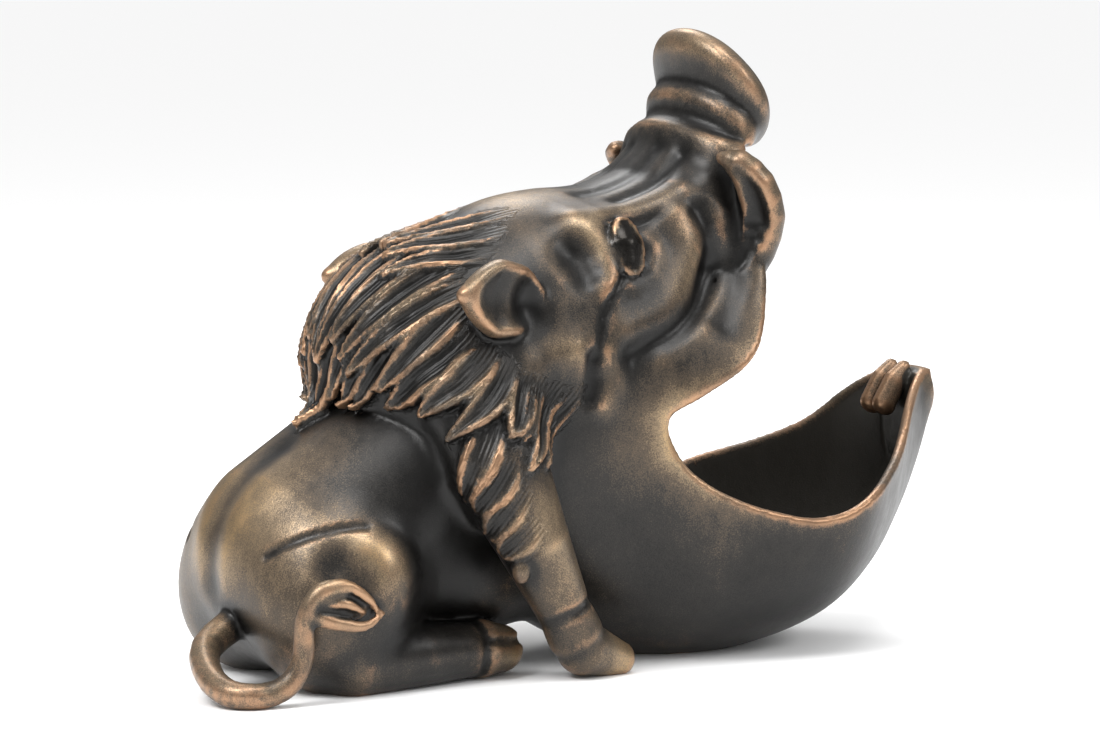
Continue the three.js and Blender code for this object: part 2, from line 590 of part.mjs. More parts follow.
// The field on a grid: blocks that the surface can't reach are filled with one value
function sampleField() {
  const size = FIELD_LOW.map((low, k) => Math.ceil((FIELD_HIGH[k] - low) / GRID) + 1);
  const values = new Float64Array(size[0] * size[1] * size[2]);
  const index = (i, j, k) => (i * size[1] + j) * size[2] + k;
  const at = (i, j, k) => sculpture(FIELD_LOW[0] + GRID * i, FIELD_LOW[1] + GRID * j, FIELD_LOW[2] + GRID * k);
  for (let bi = 0; bi < size[0]; bi += BLOCK) {
    for (let bj = 0; bj < size[1]; bj += BLOCK) {
      for (let bk = 0; bk < size[2]; bk += BLOCK) {
        const middle = at(bi + 1, bj + 1, bk + 1);
        for (let i = bi; i < Math.min(bi + BLOCK, size[0]); i += 1) {
          for (let j = bj; j < Math.min(bj + BLOCK, size[1]); j += 1) {
            for (let k = bk; k < Math.min(bk + BLOCK, size[2]); k += 1) {
              values[index(i, j, k)] = Math.abs(middle) > FAR_FROM_SURFACE ? middle : at(i, j, k) || TINY;
            }
          }
        }
      }
    }
  }
  return { size, values, index };
}

// Each grid cube is split into six tetrahedra round its diagonal, which facets the field without gaps
const CUBE_WALKS = [[0, 1, 2], [0, 2, 1], [1, 0, 2], [1, 2, 0], [2, 0, 1], [2, 1, 0]];

function facetField({ size, values, index }) {
  const corners = new Map();
  const points = [];
  const triangles = [];
  const cornerOn = (a, b) => {
    const [low, high] = a.id < b.id ? [a, b] : [b, a];
    const key = low.id * values.length + high.id;
    if (!corners.has(key)) {
      const t = clamp(low.value / (low.value - high.value), CORNER_MARGIN, 1 - CORNER_MARGIN);
      const cell = mix(low.cell, high.cell, t);
      corners.set(key, points.length);
      points.push(add(FIELD_LOW, scale(cell, GRID)));
    }
    return corners.get(key);
  };
  const emit = (a, b, c, inside) => {
    const [pa, pb, pc] = [points[a], points[b], points[c]];
    const normal = cross(sub(pb, pa), sub(pc, pa));
    const inwards = sub(add(FIELD_LOW, scale(inside.cell, GRID)), pa);
    triangles.push(...(dot(normal, inwards) > 0 ? [a, c, b] : [a, b, c]));
  };
  const facetTetrahedron = (tet) => {
    const inside = tet.filter((v) => v.value < 0);
    const outside = tet.filter((v) => v.value >= 0);
    if (inside.length === 1 || inside.length === 3) {
      const [lone, others] = inside.length === 1 ? [inside[0], outside] : [outside[0], inside];
      const [a, b, c] = others.map((other) => cornerOn(lone, other));
      emit(a, b, c, inside[0]);
    } else if (inside.length === 2) {
      const [a, b, c, d] = [[0, 0], [0, 1], [1, 1], [1, 0]].map(([i, o]) => cornerOn(inside[i], outside[o]));
      emit(a, b, c, inside[0]);
      emit(a, c, d, inside[0]);
    }
  };
  const vertex = (cell) => ({ cell, id: index(...cell), value: values[index(...cell)] });
  const cubeIsCut = (i, j, k) => {
    const first = values[index(i, j, k)] < 0;
    for (let n = 1; n < 8; n += 1) {
      if (values[index(i + (n & 1), j + ((n >> 1) & 1), k + (n >> 2))] < 0 !== first) return true;
    }
    return false;
  };
  for (let i = 0; i + 1 < size[0]; i += 1) {
    for (let j = 0; j + 1 < size[1]; j += 1) {
      for (let k = 0; k + 1 < size[2]; k += 1) {
        if (!cubeIsCut(i, j, k)) continue;
        for (const walk of CUBE_WALKS) {
          const tet = [vertex([i, j, k])];
          for (const axis of walk) {
            const cell = [...tet[tet.length - 1].cell];
            cell[axis] += 1;
            tet.push(vertex(cell));
          }
          facetTetrahedron(tet);
        }
      }
    }
  }
  return { points, triangles };
}

// Only the largest connected shell is the casting
function largestShell({ points, triangles }) {
  const parent = points.map((_, i) => i);
  const find = (i) => {
    let root = i;
    while (parent[root] !== root) {
      parent[root] = parent[parent[root]];
      root = parent[root];
    }
    return root;
  };
  for (let t = 0; t < triangles.length; t += 3) {
    parent[find(triangles[t + 1])] = find(triangles[t]);
    parent[find(triangles[t + 2])] = find(triangles[t]);
  }
  const counts = new Map();
  for (const corner of triangles) counts.set(find(corner), (counts.get(find(corner)) ?? 0) + 1);
  const [largest] = [...counts].sort((a, b) => b[1] - a[1])[0];
  return { points, triangles: triangles.filter((_, n) => find(triangles[n - (n % 3)]) === largest) };
}

function facetShape([a, b, c]) {
  const normal = cross(sub(b, a), sub(c, a));
  const size = Math.hypot(...normal) || TINY;
  const longest = Math.max(dot(sub(b, a), sub(b, a)), dot(sub(c, b), sub(c, b)), dot(sub(a, c), sub(a, c)));
  return { normal: scale(normal, 1 / size), quality: size / longest };
}

// Edge collapse by summed squared distances to the facets' planes
class Collapser {
  constructor({ points, triangles }) {
    this.points = points;
    this.faces = [];
    this.facesAt = points.map(() => new Set());
    this.errors = points.map(() => new Float64Array(11));
    this.stamp = new Uint32Array(points.length);
    this.heap = [];
    for (let t = 0; t < triangles.length; t += 3) this.addFace(triangles.slice(t, t + 3));
    this.faceCount = this.faces.length;
  }

  addFace(face) {
    const id = this.faces.length;
    this.faces.push(face);
    const [a, b, c] = face.map((v) => this.points[v]);
    const normal = cross(sub(b, a), sub(c, a));
    const area = Math.hypot(...normal);
    const plane = area > 0 ? scale(normal, 1 / area) : [0, 0, 0];
    const [x, y, z, w] = [...plane, -dot(plane, a)];
    const terms = [x * x, x * y, x * z, x * w, y * y, y * z, y * w, z * z, z * w, w * w, 1];
    for (const v of face) {
      this.facesAt[v].add(id);
      terms.forEach((term, n) => { this.errors[v][n] += term * area; });
    }
  }

  neighbours(v) {
    const found = new Set();
    for (const f of this.facesAt[v]) for (const w of this.faces[f]) if (w !== v) found.add(w);
    return found;
  }

  // The meeting point with the least summed error, drawn a little towards the middle of the edge
  meetingPoint(a, b) {
    const q = this.errors[a].map((v, n) => v + this.errors[b][n]);
    const middle = mix(this.points[a], this.points[b], 0.5);
    const pull = PULL_TO_MIDDLE * (q[0] + q[4] + q[7]) || TINY;
    const rows = [[q[0] + pull, q[1], q[2]], [q[1], q[4] + pull, q[5]], [q[2], q[5], q[7] + pull]];
    const right = [pull * middle[0] - q[3], pull * middle[1] - q[6], pull * middle[2] - q[8]];
    const whole = dot(rows[0], cross(rows[1], rows[2]));
    const solve = (k) => {
      const swapped = rows.map((row, n) => row.map((v, m) => (m === k ? right[n] : v)));
      return dot(swapped[0], cross(swapped[1], swapped[2])) / whole;
    };
    const p = [solve(0), solve(1), solve(2)];
    const [x, y, z] = p;
    const error = q[0] * x * x + q[4] * y * y + q[7] * z * z + q[9]
      + 2 * (q[1] * x * y + q[2] * x * z + q[3] * x + q[5] * y * z + q[6] * y + q[8] * z);
    return { p, cost: Math.max(error, 0) / q[10] ** AREA_FAIRNESS };
  }

  push(a, b) {
    const { p, cost } = this.meetingPoint(a, b);
    this.insert({ a, b, p, cost, tries: 0, stampA: this.stamp[a], stampB: this.stamp[b] });
  }

  insert(entry) {
    let n = this.heap.push(entry) - 1;
    while (n > 0) {
      const up = (n - 1) >> 1;
      if (this.heap[up].cost <= entry.cost) break;
      this.heap[n] = this.heap[up];
      n = up;
    }
    this.heap[n] = entry;
  }

  pop() {
    const top = this.heap[0];
    const last = this.heap.pop();
    if (this.heap.length === 0) return top;
    let n = 0;
    for (;;) {
      let child = 2 * n + 1;
      if (child >= this.heap.length) break;
      if (child + 1 < this.heap.length && this.heap[child + 1].cost < this.heap[child].cost) child += 1;
      if (this.heap[child].cost >= last.cost) break;
      this.heap[n] = this.heap[child];
      n = child;
    }
    this.heap[n] = last;
    return top;
  }

  keepsShape(v, other, p) {
    for (const f of this.facesAt[v]) {
      const face = this.faces[f];
      if (face.includes(other)) continue;
      const was = facetShape(face.map((w) => this.points[w]));
      const now = facetShape(face.map((w) => (w === v ? p : this.points[w])));
      if (now.quality < Math.min(THINNEST_FACET, THINNING_LIMIT * was.quality)) return false;
      if (dot(was.normal, now.normal) < LARGEST_TURN) return false;
    }
    return true;
  }

  collapse({ a, b, p }) {
    const around = this.neighbours(b);
    const shared = [...this.neighbours(a)].filter((v) => around.has(v));
    if (shared.length !== 2) return false;
    if (!this.keepsShape(a, b, p) || !this.keepsShape(b, a, p)) return false;
    for (const f of [...this.facesAt[b]]) {
      const face = this.faces[f];
      if (face.includes(a)) {
        for (const v of face) this.facesAt[v].delete(f);
        this.faces[f] = null;
        this.faceCount -= 1;
      } else {
        this.faces[f] = face.map((v) => (v === b ? a : v));
        this.facesAt[a].add(f);
      }
    }
    this.facesAt[b].clear();
    this.points[a] = p;
    this.errors[a] = this.errors[a].map((v, n) => v + this.errors[b][n]);
    this.stamp[a] += 1;
    this.stamp[b] += 1;
    for (const v of this.neighbours(a)) this.push(a, v);
    return true;
  }

  reduceTo(count) {
    this.facesAt.forEach((_, v) => {
      for (const w of this.neighbours(v)) if (v < w) this.push(v, w);
    });
    while (this.faceCount > count && this.heap.length > 0) {
      const edge = this.pop();
      const fresh = this.stamp[edge.a] === edge.stampA && this.stamp[edge.b] === edge.stampB;
      if (fresh && !this.collapse(edge) && edge.tries < COLLAPSE_TRIES) {
        this.insert({ ...edge, cost: 2 * edge.cost + RETRY_COST, tries: edge.tries + 1 });
      }
    }
  }

  mesh() {
    const used = new Map();
    const vertProperties = [];
    const triVerts = [];
    for (const face of this.faces) {
      if (!face) continue;
      for (const v of face) {
        if (!used.has(v)) {
          used.set(v, used.size);
          vertProperties.push(...this.points[v]);
        }
        triVerts.push(used.get(v));
      }
    }
    return { vertProperties, triVerts };
  }
}

// Cutting the casting level where it meets the ground
const wasm = await Module();
wasm.setup();

function solidFrom({ vertProperties, triVerts }) {
  return new wasm.Manifold(new wasm.Mesh({
    numProp: 3,
    vertProperties: new Float32Array(vertProperties),
    triVerts: new Uint32Array(triVerts),
  }));
}

function groundBlock() {
  const size = sub(FIELD_HIGH, FIELD_LOW);
  const box = new THREE.BoxGeometry(size[0], size[1], size[2]);
  box.translate(0, 0, -size[2] / 2);
  box.deleteAttribute('normal');
  box.deleteAttribute('uv');
  const merged = mergeVertices(box);
  return solidFrom({ vertProperties: merged.attributes.position.array, triVerts: merged.index.array });
}

function geometryFrom(solid) {
  const { numProp, vertProperties, triVerts } = solid.getMesh();
  const geometry = new THREE.BufferGeometry();
  const corners = new THREE.InterleavedBuffer(vertProperties, numProp);
  geometry.setAttribute('position', new THREE.InterleavedBufferAttribute(corners, 3, 0));
  geometry.setIndex(new THREE.BufferAttribute(triVerts, 1));
  return geometry.toNonIndexed();
}

function castingGeometry() {
  const collapser = new Collapser(largestShell(facetField(sampleField())));
  collapser.reduceTo(FACET_COUNT);
  const standing = solidFrom(collapser.mesh()).subtract(groundBlock());
  const geometry = geometryFrom(standing);
  geometry.computeBoundingBox();
  const centre = geometry.boundingBox.getCenter(new THREE.Vector3());
  geometry.translate(-centre.x, -centre.y, -geometry.boundingBox.min.z);
  geometry.computeVertexNormals();
  return geometry;
}

const bronze = new THREE.MeshStandardMaterial({
  color: BRONZE_BROWN,
  roughness: BRONZE_ROUGHNESS,
  metalness: BRONZE_METALNESS,
});
const warthog = new THREE.Mesh(castingGeometry(), bronze);
warthog.name = 'warthog';

const dish = new THREE.Group();
dish.add(warthog);
export default dish;
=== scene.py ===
"""Sitting warthog dish in antiqued bronze: the fine cast surface, its patina with some painted highlights and
painted shade, and a plain studio.
"""
import math

import bpy
import numpy as np
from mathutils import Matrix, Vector


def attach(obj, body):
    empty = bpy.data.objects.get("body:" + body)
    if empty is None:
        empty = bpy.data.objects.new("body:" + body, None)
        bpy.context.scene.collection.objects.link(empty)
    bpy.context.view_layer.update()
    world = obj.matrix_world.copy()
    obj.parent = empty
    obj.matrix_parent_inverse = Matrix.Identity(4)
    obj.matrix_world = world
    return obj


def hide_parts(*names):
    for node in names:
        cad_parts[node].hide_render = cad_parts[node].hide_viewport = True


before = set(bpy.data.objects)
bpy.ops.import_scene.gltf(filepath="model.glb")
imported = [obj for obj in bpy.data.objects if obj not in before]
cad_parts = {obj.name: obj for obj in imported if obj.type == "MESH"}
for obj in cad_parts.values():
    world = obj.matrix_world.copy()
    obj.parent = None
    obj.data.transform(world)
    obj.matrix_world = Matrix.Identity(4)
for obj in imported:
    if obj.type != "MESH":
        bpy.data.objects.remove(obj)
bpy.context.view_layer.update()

# The forms are in millimetres, [x, side, z] with side = |y|, in the sculptor's frame; the row's is shifted
F = np.float32
ROW_SHIFT = (-3.5, 0.0, 0.0)
MM = 0.001
GRID = 1.25
BLOCK = 4
NEAR_SURFACE = 8.5
CHUNK = 400000
TRIANGLES = 192000
FIELD_LOW = (-166.0, -86.25, -5.0)
FIELD_SIZE = (340.0, 172.5, 236.0)
TINY = 1e-6
FAR = 1e9
WIDTH_STEPS = 12
OUTLINE_STEPS = 5
FOLD_STEPS = 4
FOLD_REACH = 2.2
FORM_MARGIN = 6
SLOPE_STEP = 0.4
SCOOP_SLOPE_STEP = 0.5
SETTLE_ROUNDS = 3
LEAST_SETTLE_SLOPE = 0.25

# Scoop of the lower jaw
SCOOP_HALF_WIDTH = [
    (-60, 40), (-25, 48), (10, 55), (40, 66), (70, 72), (95, 69), (118, 49), (138, 27), (152, 14), (162, 8),
]
KEEL_X = 45
RIM_Z = 89
KEEL_SUNK = 3
SCOOP_FRONT = 115.5
SCOOP_REAR = 95
SCOOP_CROWN = 44
SCOOP_BACK_X = -30
SCOOP_TIP_X = 158
SCOOP_ROUNDNESS = 2.3
SCOOP_END = 0.9995
SCOOP_LEAST_DEPTH = 0.03
SCOOP_LEAST_SLOPE = 0.004
SCOOP_TIP_BLEND = 6
JAW_WALL = 4.6
LIP_ROUNDING = 2.5
MOUTH_ROUNDING = 14
TIP_THICKNESS_STARTS_AT = 150
BACK_WALL_BOW = 20
BACK_WALL_HALF_WIDTH = 55

# Side view of the open mouth: the edge of the lips, and the back of the hollow
LIP_EDGE = [
    (16, 89), (26, 96.5), (45, 108), (56, 121), (61.5, 134), (62.5, 147), (59, 162), (57, 176), (66, 183),
    (84, 186), (230, 230), (230, 110), (172, 104), (160, 98.5), (152, 95.5), (146, 92), (139, 85.5),
    (130, 75.5), (117, 67.5), (100, 60.5), (84, 54), (70, 52.5), (57, 55), (44, 59), (30, 66), (20, 76),
]
MOUTH_BACK = [
    (6, 60), (8, 84), (18, 102), (34, 116), (47, 132), (52, 150), (53, 164), (62, 172), (84, 174),
    (230, 230), (230, -40), (20, -40), (8, 20),
]

# Head, body and legs, as paths with radii across and deep, or as centres with radii
SCOOP_TIP = dict(centre=(152, 0, 87), radii=(10.5, 12, 9))
CRANIUM = dict(centre=(-6, 0, 121), radii=(46, 46, 40), pitch=12)
MUZZLE = ([(20, 0, 137), (43, 0, 154), (58, 0, 177), (66, 0, 196)], [42, 38, 28, 25], [31, 24, 18, 15])
LIP_FLANGE = (
    [(58, 28, 176), (62, 35, 152), (59, 40, 134), (46, 43, 112), (30, 45, 98)],
    [6, 7, 8, 9, 10],
)
NOSE_DISC = dict(centre=(67, 0, 202.5), radii=(10.5, 29.5, 25), pitch=34)
TORSO = ([(-95, 0, 42), (-53, 0, 76), (-43, 0, 107), (-15, 0, 122)], [47, 45, 48, 44], [41, 35, 46, 42])
BELLY = dict(centre=(-48, 0, 40), radii=(55, 38, 30))
HAUNCH = dict(centre=(-103, 30, 30), radii=(27, 25, 31), pitch=-12)
KNEE = dict(centre=(-97, 42, 40), radii=(17, 15, 17))
HIND_FOOT = ([(-100, 40, 11), (-74, 37, 11), (-49, 33, 10.5)], [12, 11, 9.3])
FORELEG = (
    [(-50, 38, 100), (-50, 50, 78), (-38, 54, 50), (-24, 51, 25), (-19, 50, 16)],
    [15, 14, 12, 9.5, 10],
    [24, 18, 13, 9.5, 10],
)
HIND_HOOF = ([(-47, 32.5, 10.5), (-38, 30, 9.5)], [10.4, 8.6])
FORE_HOOF = ([(-15, 49.3, 10.5), (0, 46, 5.2)], [9.8, 6.8])
DEWCLAW = dict(centre=(-46, 60, 41), radii=(3, 3.4, 4.6))

# Ear: a bowl with a point, hollowed out from the side
EAR_CENTRE = (-44, 47.5, 133)
EAR_RADII = (18, 8, 13)
EAR_PITCH = -8
EAR_YAW = -12
EAR_POINT = [(-50, 48.5, 134), (-63, 50.5, 135.5)]
EAR_POINT_ACROSS = (11, 2)
EAR_POINT_DEEP = (5, 2)
EAR_RIM = 0.8
EAR_HOLLOW_SHIFT = (1, 8.5, 0)
EAR_HOLE = dict(centre=(-34.5, 51, 131.5), radii=(7, 8, 9))
EAR_REACH = 26

# Eye, tusk and teeth
EYEBALL = [(7.0, 37.4, 156), (6.8, 40.3, 149.5), (6.6, 43.6, 142.8)]
EYE_PROUD = [3.0, 5.0, 3.4]
EYE_HALF_WIDTH = [4.0, 6.4, 4.4]
LID_CENTRE = (6.6, 42.3, 149.3)
LID_RING = dict(front=6.0, back=4.2, tall=9.6, lean=-0.46, swell=0.05, steps=16)
LID_RADIUS = 0.95
TUSK = [(57, 34, 136), (61.5, 38.5, 146), (63, 42, 158), (59, 43.5, 169), (53.5, 41.5, 176.5), (49, 37, 179)]
TUSK_RADII = [7.5, 7.8, 8.0, 7.2, 5.4, 2.4]
TUSK_HOLLOW = [
    (53, 42, 140), (55, 45, 147), (55.5, 48.5, 156), (51.5, 50, 165.5), (47, 47.5, 172.5), (44, 42, 175),
]
TUSK_HOLLOW_RADII = [0.5, 3.0, 6.2, 6.4, 5.0, 2.0]
TOOTH = ([(141, 4, 83), (146, 4.1, 92), (150, 4.1, 97)], [3.4, 3.4, 2.6], [5, 4.6, 2.8])

# Tail on the right side, placed by [x, y, z], ending in three small locks
TAIL = [
    (-126, -6, 24), (-143, -14, 16), (-150, -30, 9.5), (-150, -43, 5.5), (-145, -50, 4.5), (-137, -51, 4.8),
    (-130, -52, 8.5), (-126, -53, 17), (-126, -54, 27), (-124, -55, 34), (-120, -56, 38.5), (-114, -57, 39.5),
]
TAIL_RADII = [6, 5.4, 4.9, 4.7, 4.5, 4.3, 4, 3.7, 3.5, 3.5, 3.7, 3.4]
TAIL_LOCKS = [
    ([(-121, -56, 38), (-113, -58, 40.5), (-105, -59, 36), (-100, -58, 30.5)], 3.0),
    ([(-124, -55, 31), (-116, -58, 28), (-106, -59.5, 26.5), (-98, -58, 30.5)], 3.2),
    ([(-121, -56, 35), (-113, -59, 34.5), (-106, -59, 31)], 2.6),
]
TAIL_LOCK_TIP = 1.0
TAIL_TUFT = dict(centre=(-112, -56.5, 33.5), radii=(9.5, 2.0, 5.0), pitch=-12)

# Folds of the skin as path, width and height: raised where height is above zero, sunk where it is below
FOLDS = [
    ([(-128, 30, 48), (-123, 37, 53), (-114, 43, 57), (-106, 46, 59), (-99, 48, 60)], 1.3, -1.7),
    ([(-112, 0, 84), (-135, 0, 62), (-152, 0, 34)], 7.0, -2.4),
    ([(-111, 54, 47), (-106, 56, 44)], 7.5, -3.0),
    ([(-13, 43, 149), (-10, 45, 142)], 6.5, -5.0),
    ([(-8, 32, 160), (-3, 38, 155), (0, 43, 147), (-5, 47, 139)], 7.0, 3.0),
    ([(7, 40, 154), (8, 43, 146)], 7.5, -3.2),
    ([(4, 33, 161), (20, 32, 164), (34, 31, 168)], 7.0, 3.0),
    ([(6, 37, 157), (19, 36, 159), (32, 34, 164)], 2.6, -1.6),
    ([(12, 42, 156), (18, 43, 150), (15, 46, 142), (7, 48, 137)], 4.5, 1.4),
    ([(31, 37, 159), (34, 41, 147), (28, 45, 136), (16, 49, 127), (2, 51, 120)], 8.5, 3.0),
    ([(39, 36, 160), (42, 41, 144), (35, 46, 131), (21, 52, 120), (4, 53, 114)], 5.0, -2.1),
    ([(45, 33, 168), (49, 38, 150), (45, 44, 134), (33, 50, 120), (15, 53, 112)], 7.5, 1.6),
    ([(53, 31, 170), (56, 38, 150), (52, 43, 132), (41, 48, 116)], 4.5, -1.2),
    ([(4, 46, 140), (-4, 49, 131), (-8, 51, 122), (-10, 52, 112)], 1.9, -1.3),
    ([(-6, 51, 112), (-4, 53, 104), (-8, 54, 96)], 4.5, 1.6),
    ([(-12, 52, 112), (-13, 53, 98)], 3.0, -1.8),
    ([(-34, 50, 112), (-20, 51, 114)], 8.0, 1.6),
    ([(14, 24, 166), (28, 23, 171), (40, 21, 180)], 3.0, -1.6),
    ([(4, 14, 168), (20, 12, 174), (36, 10, 184)], 3.0, -1.3),
]
SNOUT_ROLLS = [(56, 180, 29, 18), (62, 192, 27, 16)]
ROLL_WIDTH = 5.5
ROLL_HEIGHT = 3.0
ROLL_GAP = 5
ROLL_SWEEP = 1.9
ROLL_STEPS = 4
ROLL_LEAN = 0.656
ROLL_GROOVE_WIDTH = 0.62
ROLL_GROOVE_HEIGHT = -0.6
NOSTRIL = ([(75.5, 8, 207), (77, 13, 203)], 4.6, -6.0)
HOOF_LINES = [
    ([(-48, 42.1, 14.4), (-42, 40.3, 13.6), (-36, 37, 12.7), (-30.5, 31.5, 12.3)], 1.3, -2.8),
    ([(-49.5, 39.6, 2.4), (-49.5, 43.4, 10.5), (-49.5, 39.6, 18.6), (-49.5, 32.8, 21.1)], 1.2, -1.5),
    ([(-5.2, 47.3, 16), (2.2, 45.6, 11.7), (6, 44.8, 6), (6.1, 44.7, 1)], 1.4, -2.6),
    ([(-34, 54, 20), (-29, 60, 23), (-20, 60, 27), (-14, 54, 29), (-14, 47, 29)], 1.5, -2.0),
]

# Rows of hair locks: roots and tips from one point to another, count, half width, thickness, lift, bend
LOCK_ROWS = [
    ((-56, 2, 151), (-58, 38, 131), (-95, 0, 92), (-83, 24, 99), 5, 6.6, 4.6, 4.5, (0, 4, 3)),
    ((-45, 5, 157), (-50, 36, 139), (-93, 1, 116), (-86, 19, 110), 4, 6.4, 4.6, 6.0, (0, 4, 4)),
    ((-24, 16, 160), (-40, 30, 151), (-68, 3, 159), (-80, 15, 141), 3, 5.6, 4.4, 5.0, (0, 2, 3)),
    ((-57, 45, 121), (-37, 51, 108), (-82, 31, 97), (-51, 57, 85), 4, 7.4, 4.6, 4.0, (0, 3, 0)),
    ((-32, 51, 107), (-17, 51, 101), (-47, 60, 84), (-40, 60, 73), 3, 4.4, 3.6, 2.5, (0, 2, 0)),
    ((-55, 56, 92), (-43, 62, 58), (-66, 54, 66), (-56, 57, 44), 4, 7.4, 4.2, 0.8, (0, 3, 0)),
]
LOCK_STEPS = 8
LEAF_START = 0.16
LEAF_SPAN = 0.8
LEAF_POWER = 0.8
LEAF_LEAST = 0.14
LOCK_EDGE_DEPTH = 0.55
LOCK_SUNK = 0.25
LOCK_ROOT_SUNK = 0.75
LOCK_GROOVE_RAISED = 0.95
LOCK_GROOVE_ACROSS = 0.62
LOCK_GROOVE_DEEP = 0.75
LOCK_MARGIN = 4


# Field helpers
def smooth_union(a, b, blend):
    near = np.maximum(blend - np.abs(a - b), 0) / blend
    return np.minimum(a, b) - near * near * F(blend * 0.25)


def smooth_cut(solid, tool, blend):
    return -smooth_union(-solid, tool, blend)


def smooth_curve(points, steps, closed=False):
    points = np.array(points, float)
    if closed:
        padded = np.vstack([points[-1], points, points[:2]])
    else:
        padded = np.vstack([2 * points[0] - points[1], points, 2 * points[-1] - points[-2]])
    t = (np.arange(steps) / steps)[:, None]
    spans = []
    for p0, p1, p2, p3 in zip(padded, padded[1:], padded[2:], padded[3:]):
        v0 = (p2 - p0) / 2
        v1 = (p3 - p1) / 2
        cubic = (2 * p1 - 2 * p2 + v0 + v1) * t**3
        square = (-3 * p1 + 3 * p2 - 2 * v0 - v1) * t**2
        spans.append(cubic + square + v0 * t + p1)
    return np.vstack(spans if closed else [*spans, points[-1:]])


def ellipsoid(centre, radii, pitch=0.0, yaw=0.0):
    cp, sp = math.cos(math.radians(pitch)), math.sin(math.radians(pitch))
    cy, sy = math.cos(math.radians(yaw)), math.sin(math.radians(yaw))
    axes = np.array([[cp * cy, sy, sp * cy], [-cp * sy, cy, -sp * sy], [-sp, 0, cp]], F)
    radii = np.array(radii, F)

    def field(p):
        q = ((p - np.array(centre, F)) @ axes.T) / radii
        inner = np.sqrt((q * q).sum(1)) + F(TINY)
        slope = np.sqrt(((q / radii) ** 2).sum(1)) + F(TINY)
        return inner * (inner - 1) / slope

    return field


# A tapering rod with an oval section: its distance, and how far across it (in mm) each point lies
def rod(path, across, deep=None, facing=(0, 1, 0)):
    path = np.array(path, F)
    across = np.array(across, F)
    deep = across if deep is None else np.array(deep, F)
    facing = np.broadcast_to(np.array(facing, F), (len(path) - 1, 3))

    def field(p):
        nearest = np.full(len(p), FAR, F)
        offset = np.zeros(len(p), F)
        for i, want in enumerate(facing):
            along = path[i + 1] - path[i]
            length = np.linalg.norm(along)
            axis = along / length
            side = want - axis * (want @ axis)
            side = side / np.linalg.norm(side)
            q = p - path[i]
            w = q @ axis
            t = np.clip(w / length, 0, 1)
            ra = across[i] + (across[i + 1] - across[i]) * t
            rb = deep[i] + (deep[i + 1] - deep[i]) * t
            rc = np.minimum(ra, rb)
            sideways = q @ side
            a = sideways / ra
            b = (q @ np.cross(axis, side)) / rb
            c = (w - t * length) / rc
            inner = np.sqrt(a * a + b * b + c * c) + F(TINY)
            slope = np.sqrt((a / ra) ** 2 + (b / rb) ** 2 + (c / rc) ** 2) + F(TINY)
            d = inner * (inner - 1) / slope
            closer = d < nearest
            nearest = np.where(closer, d, nearest)
            offset = np.where(closer, sideways, offset)
        return nearest, offset

    return field


def limb(*args, **kwargs):
    field = rod(*args, **kwargs)
    return lambda p: field(p)[0]


def smooth_limb(path, radii, steps):
    curve = smooth_curve(path, steps)
    places = np.linspace(0, len(radii) - 1, len(curve))
    return limb(curve, np.interp(places, range(len(radii)), radii))


# Signed distance to a closed outline in the side view, negative inside
def side_outline(points):
    outline = smooth_curve(points, OUTLINE_STEPS, closed=True).astype(F)

    def field(x, z):
        nearest = np.full(x.shape, FAR, F)
        inside = np.zeros(x.shape, bool)
        for a, b in zip(outline, np.roll(outline, -1, 0)):
            e = b - a
            t = np.clip(((x - a[0]) * e[0] + (z - a[1]) * e[1]) / (e @ e), 0, 1)
            nearest = np.minimum(nearest, (x - a[0] - e[0] * t) ** 2 + (z - a[1] - e[1] * t) ** 2)
            crosses = (a[1] > z) != (b[1] > z)
            if crosses.any():
                inside ^= crosses & (x < a[0] + e[0] * (z - a[1]) / e[1])
        return np.sqrt(nearest) * np.where(inside, F(-1), F(1))

    return field


# The scoop: rounded sections under a straight rim line, closing at the keel and at the crown
half_width_curve = smooth_curve(SCOOP_HALF_WIDTH, WIDTH_STEPS)


def scoop_shape(x, side, z):
    t = np.where(x > KEEL_X, (x - KEEL_X) / SCOOP_FRONT, (KEEL_X - x) / SCOOP_REAR)
    t = np.clip(t, 0, SCOOP_END)
    depth = (RIM_Z + KEEL_SUNK) * np.maximum(np.sqrt(1 - t * t), SCOOP_LEAST_DEPTH)
    h = np.where(z < RIM_Z, (RIM_Z - z) / depth, (z - RIM_Z) / SCOOP_CROWN)
    w = np.abs(side) / np.interp(x, half_width_curve[:, 0], half_width_curve[:, 1])
    return np.sqrt(w**SCOOP_ROUNDNESS + h**SCOOP_ROUNDNESS + TINY) - 1


scoop_tip = ellipsoid(**SCOOP_TIP)


def scoop(p):
    x, side, z = p.T
    e = SCOOP_SLOPE_STEP
    dx = scoop_shape(x + e, side, z) - scoop_shape(x - e, side, z)
    ds = scoop_shape(x, side + e, z) - scoop_shape(x, side - e, z)
    dz = scoop_shape(x, side, z + e) - scoop_shape(x, side, z - e)
    slope = np.sqrt(dx * dx + ds * ds + dz * dz) / (2 * e)
    shell = (scoop_shape(x, side, z) / np.maximum(slope, SCOOP_LEAST_SLOPE)).astype(F)
    trimmed = np.maximum(np.maximum(shell, SCOOP_BACK_X - x), x - SCOOP_TIP_X)
    return smooth_union(trimmed, scoop_tip(p), SCOOP_TIP_BLEND)


# Forms of the head and body, each with the width over which it blends into the forms before it
HEAD_FORMS = [(limb(*MUZZLE), 20), (limb(*LIP_FLANGE), 14), (scoop, 16)]
BODY_FORMS = [
    (ellipsoid(**BELLY), 10),
    (ellipsoid(**HAUNCH), 12),
    (ellipsoid(**KNEE), 5),
    (limb(*HIND_FOOT), 4),
    (limb(*FORELEG), 7),
]
TORSO_BLEND = 14
MOUTH_BLEND = 3
cranium = ellipsoid(**CRANIUM)
torso = limb(*TORSO)


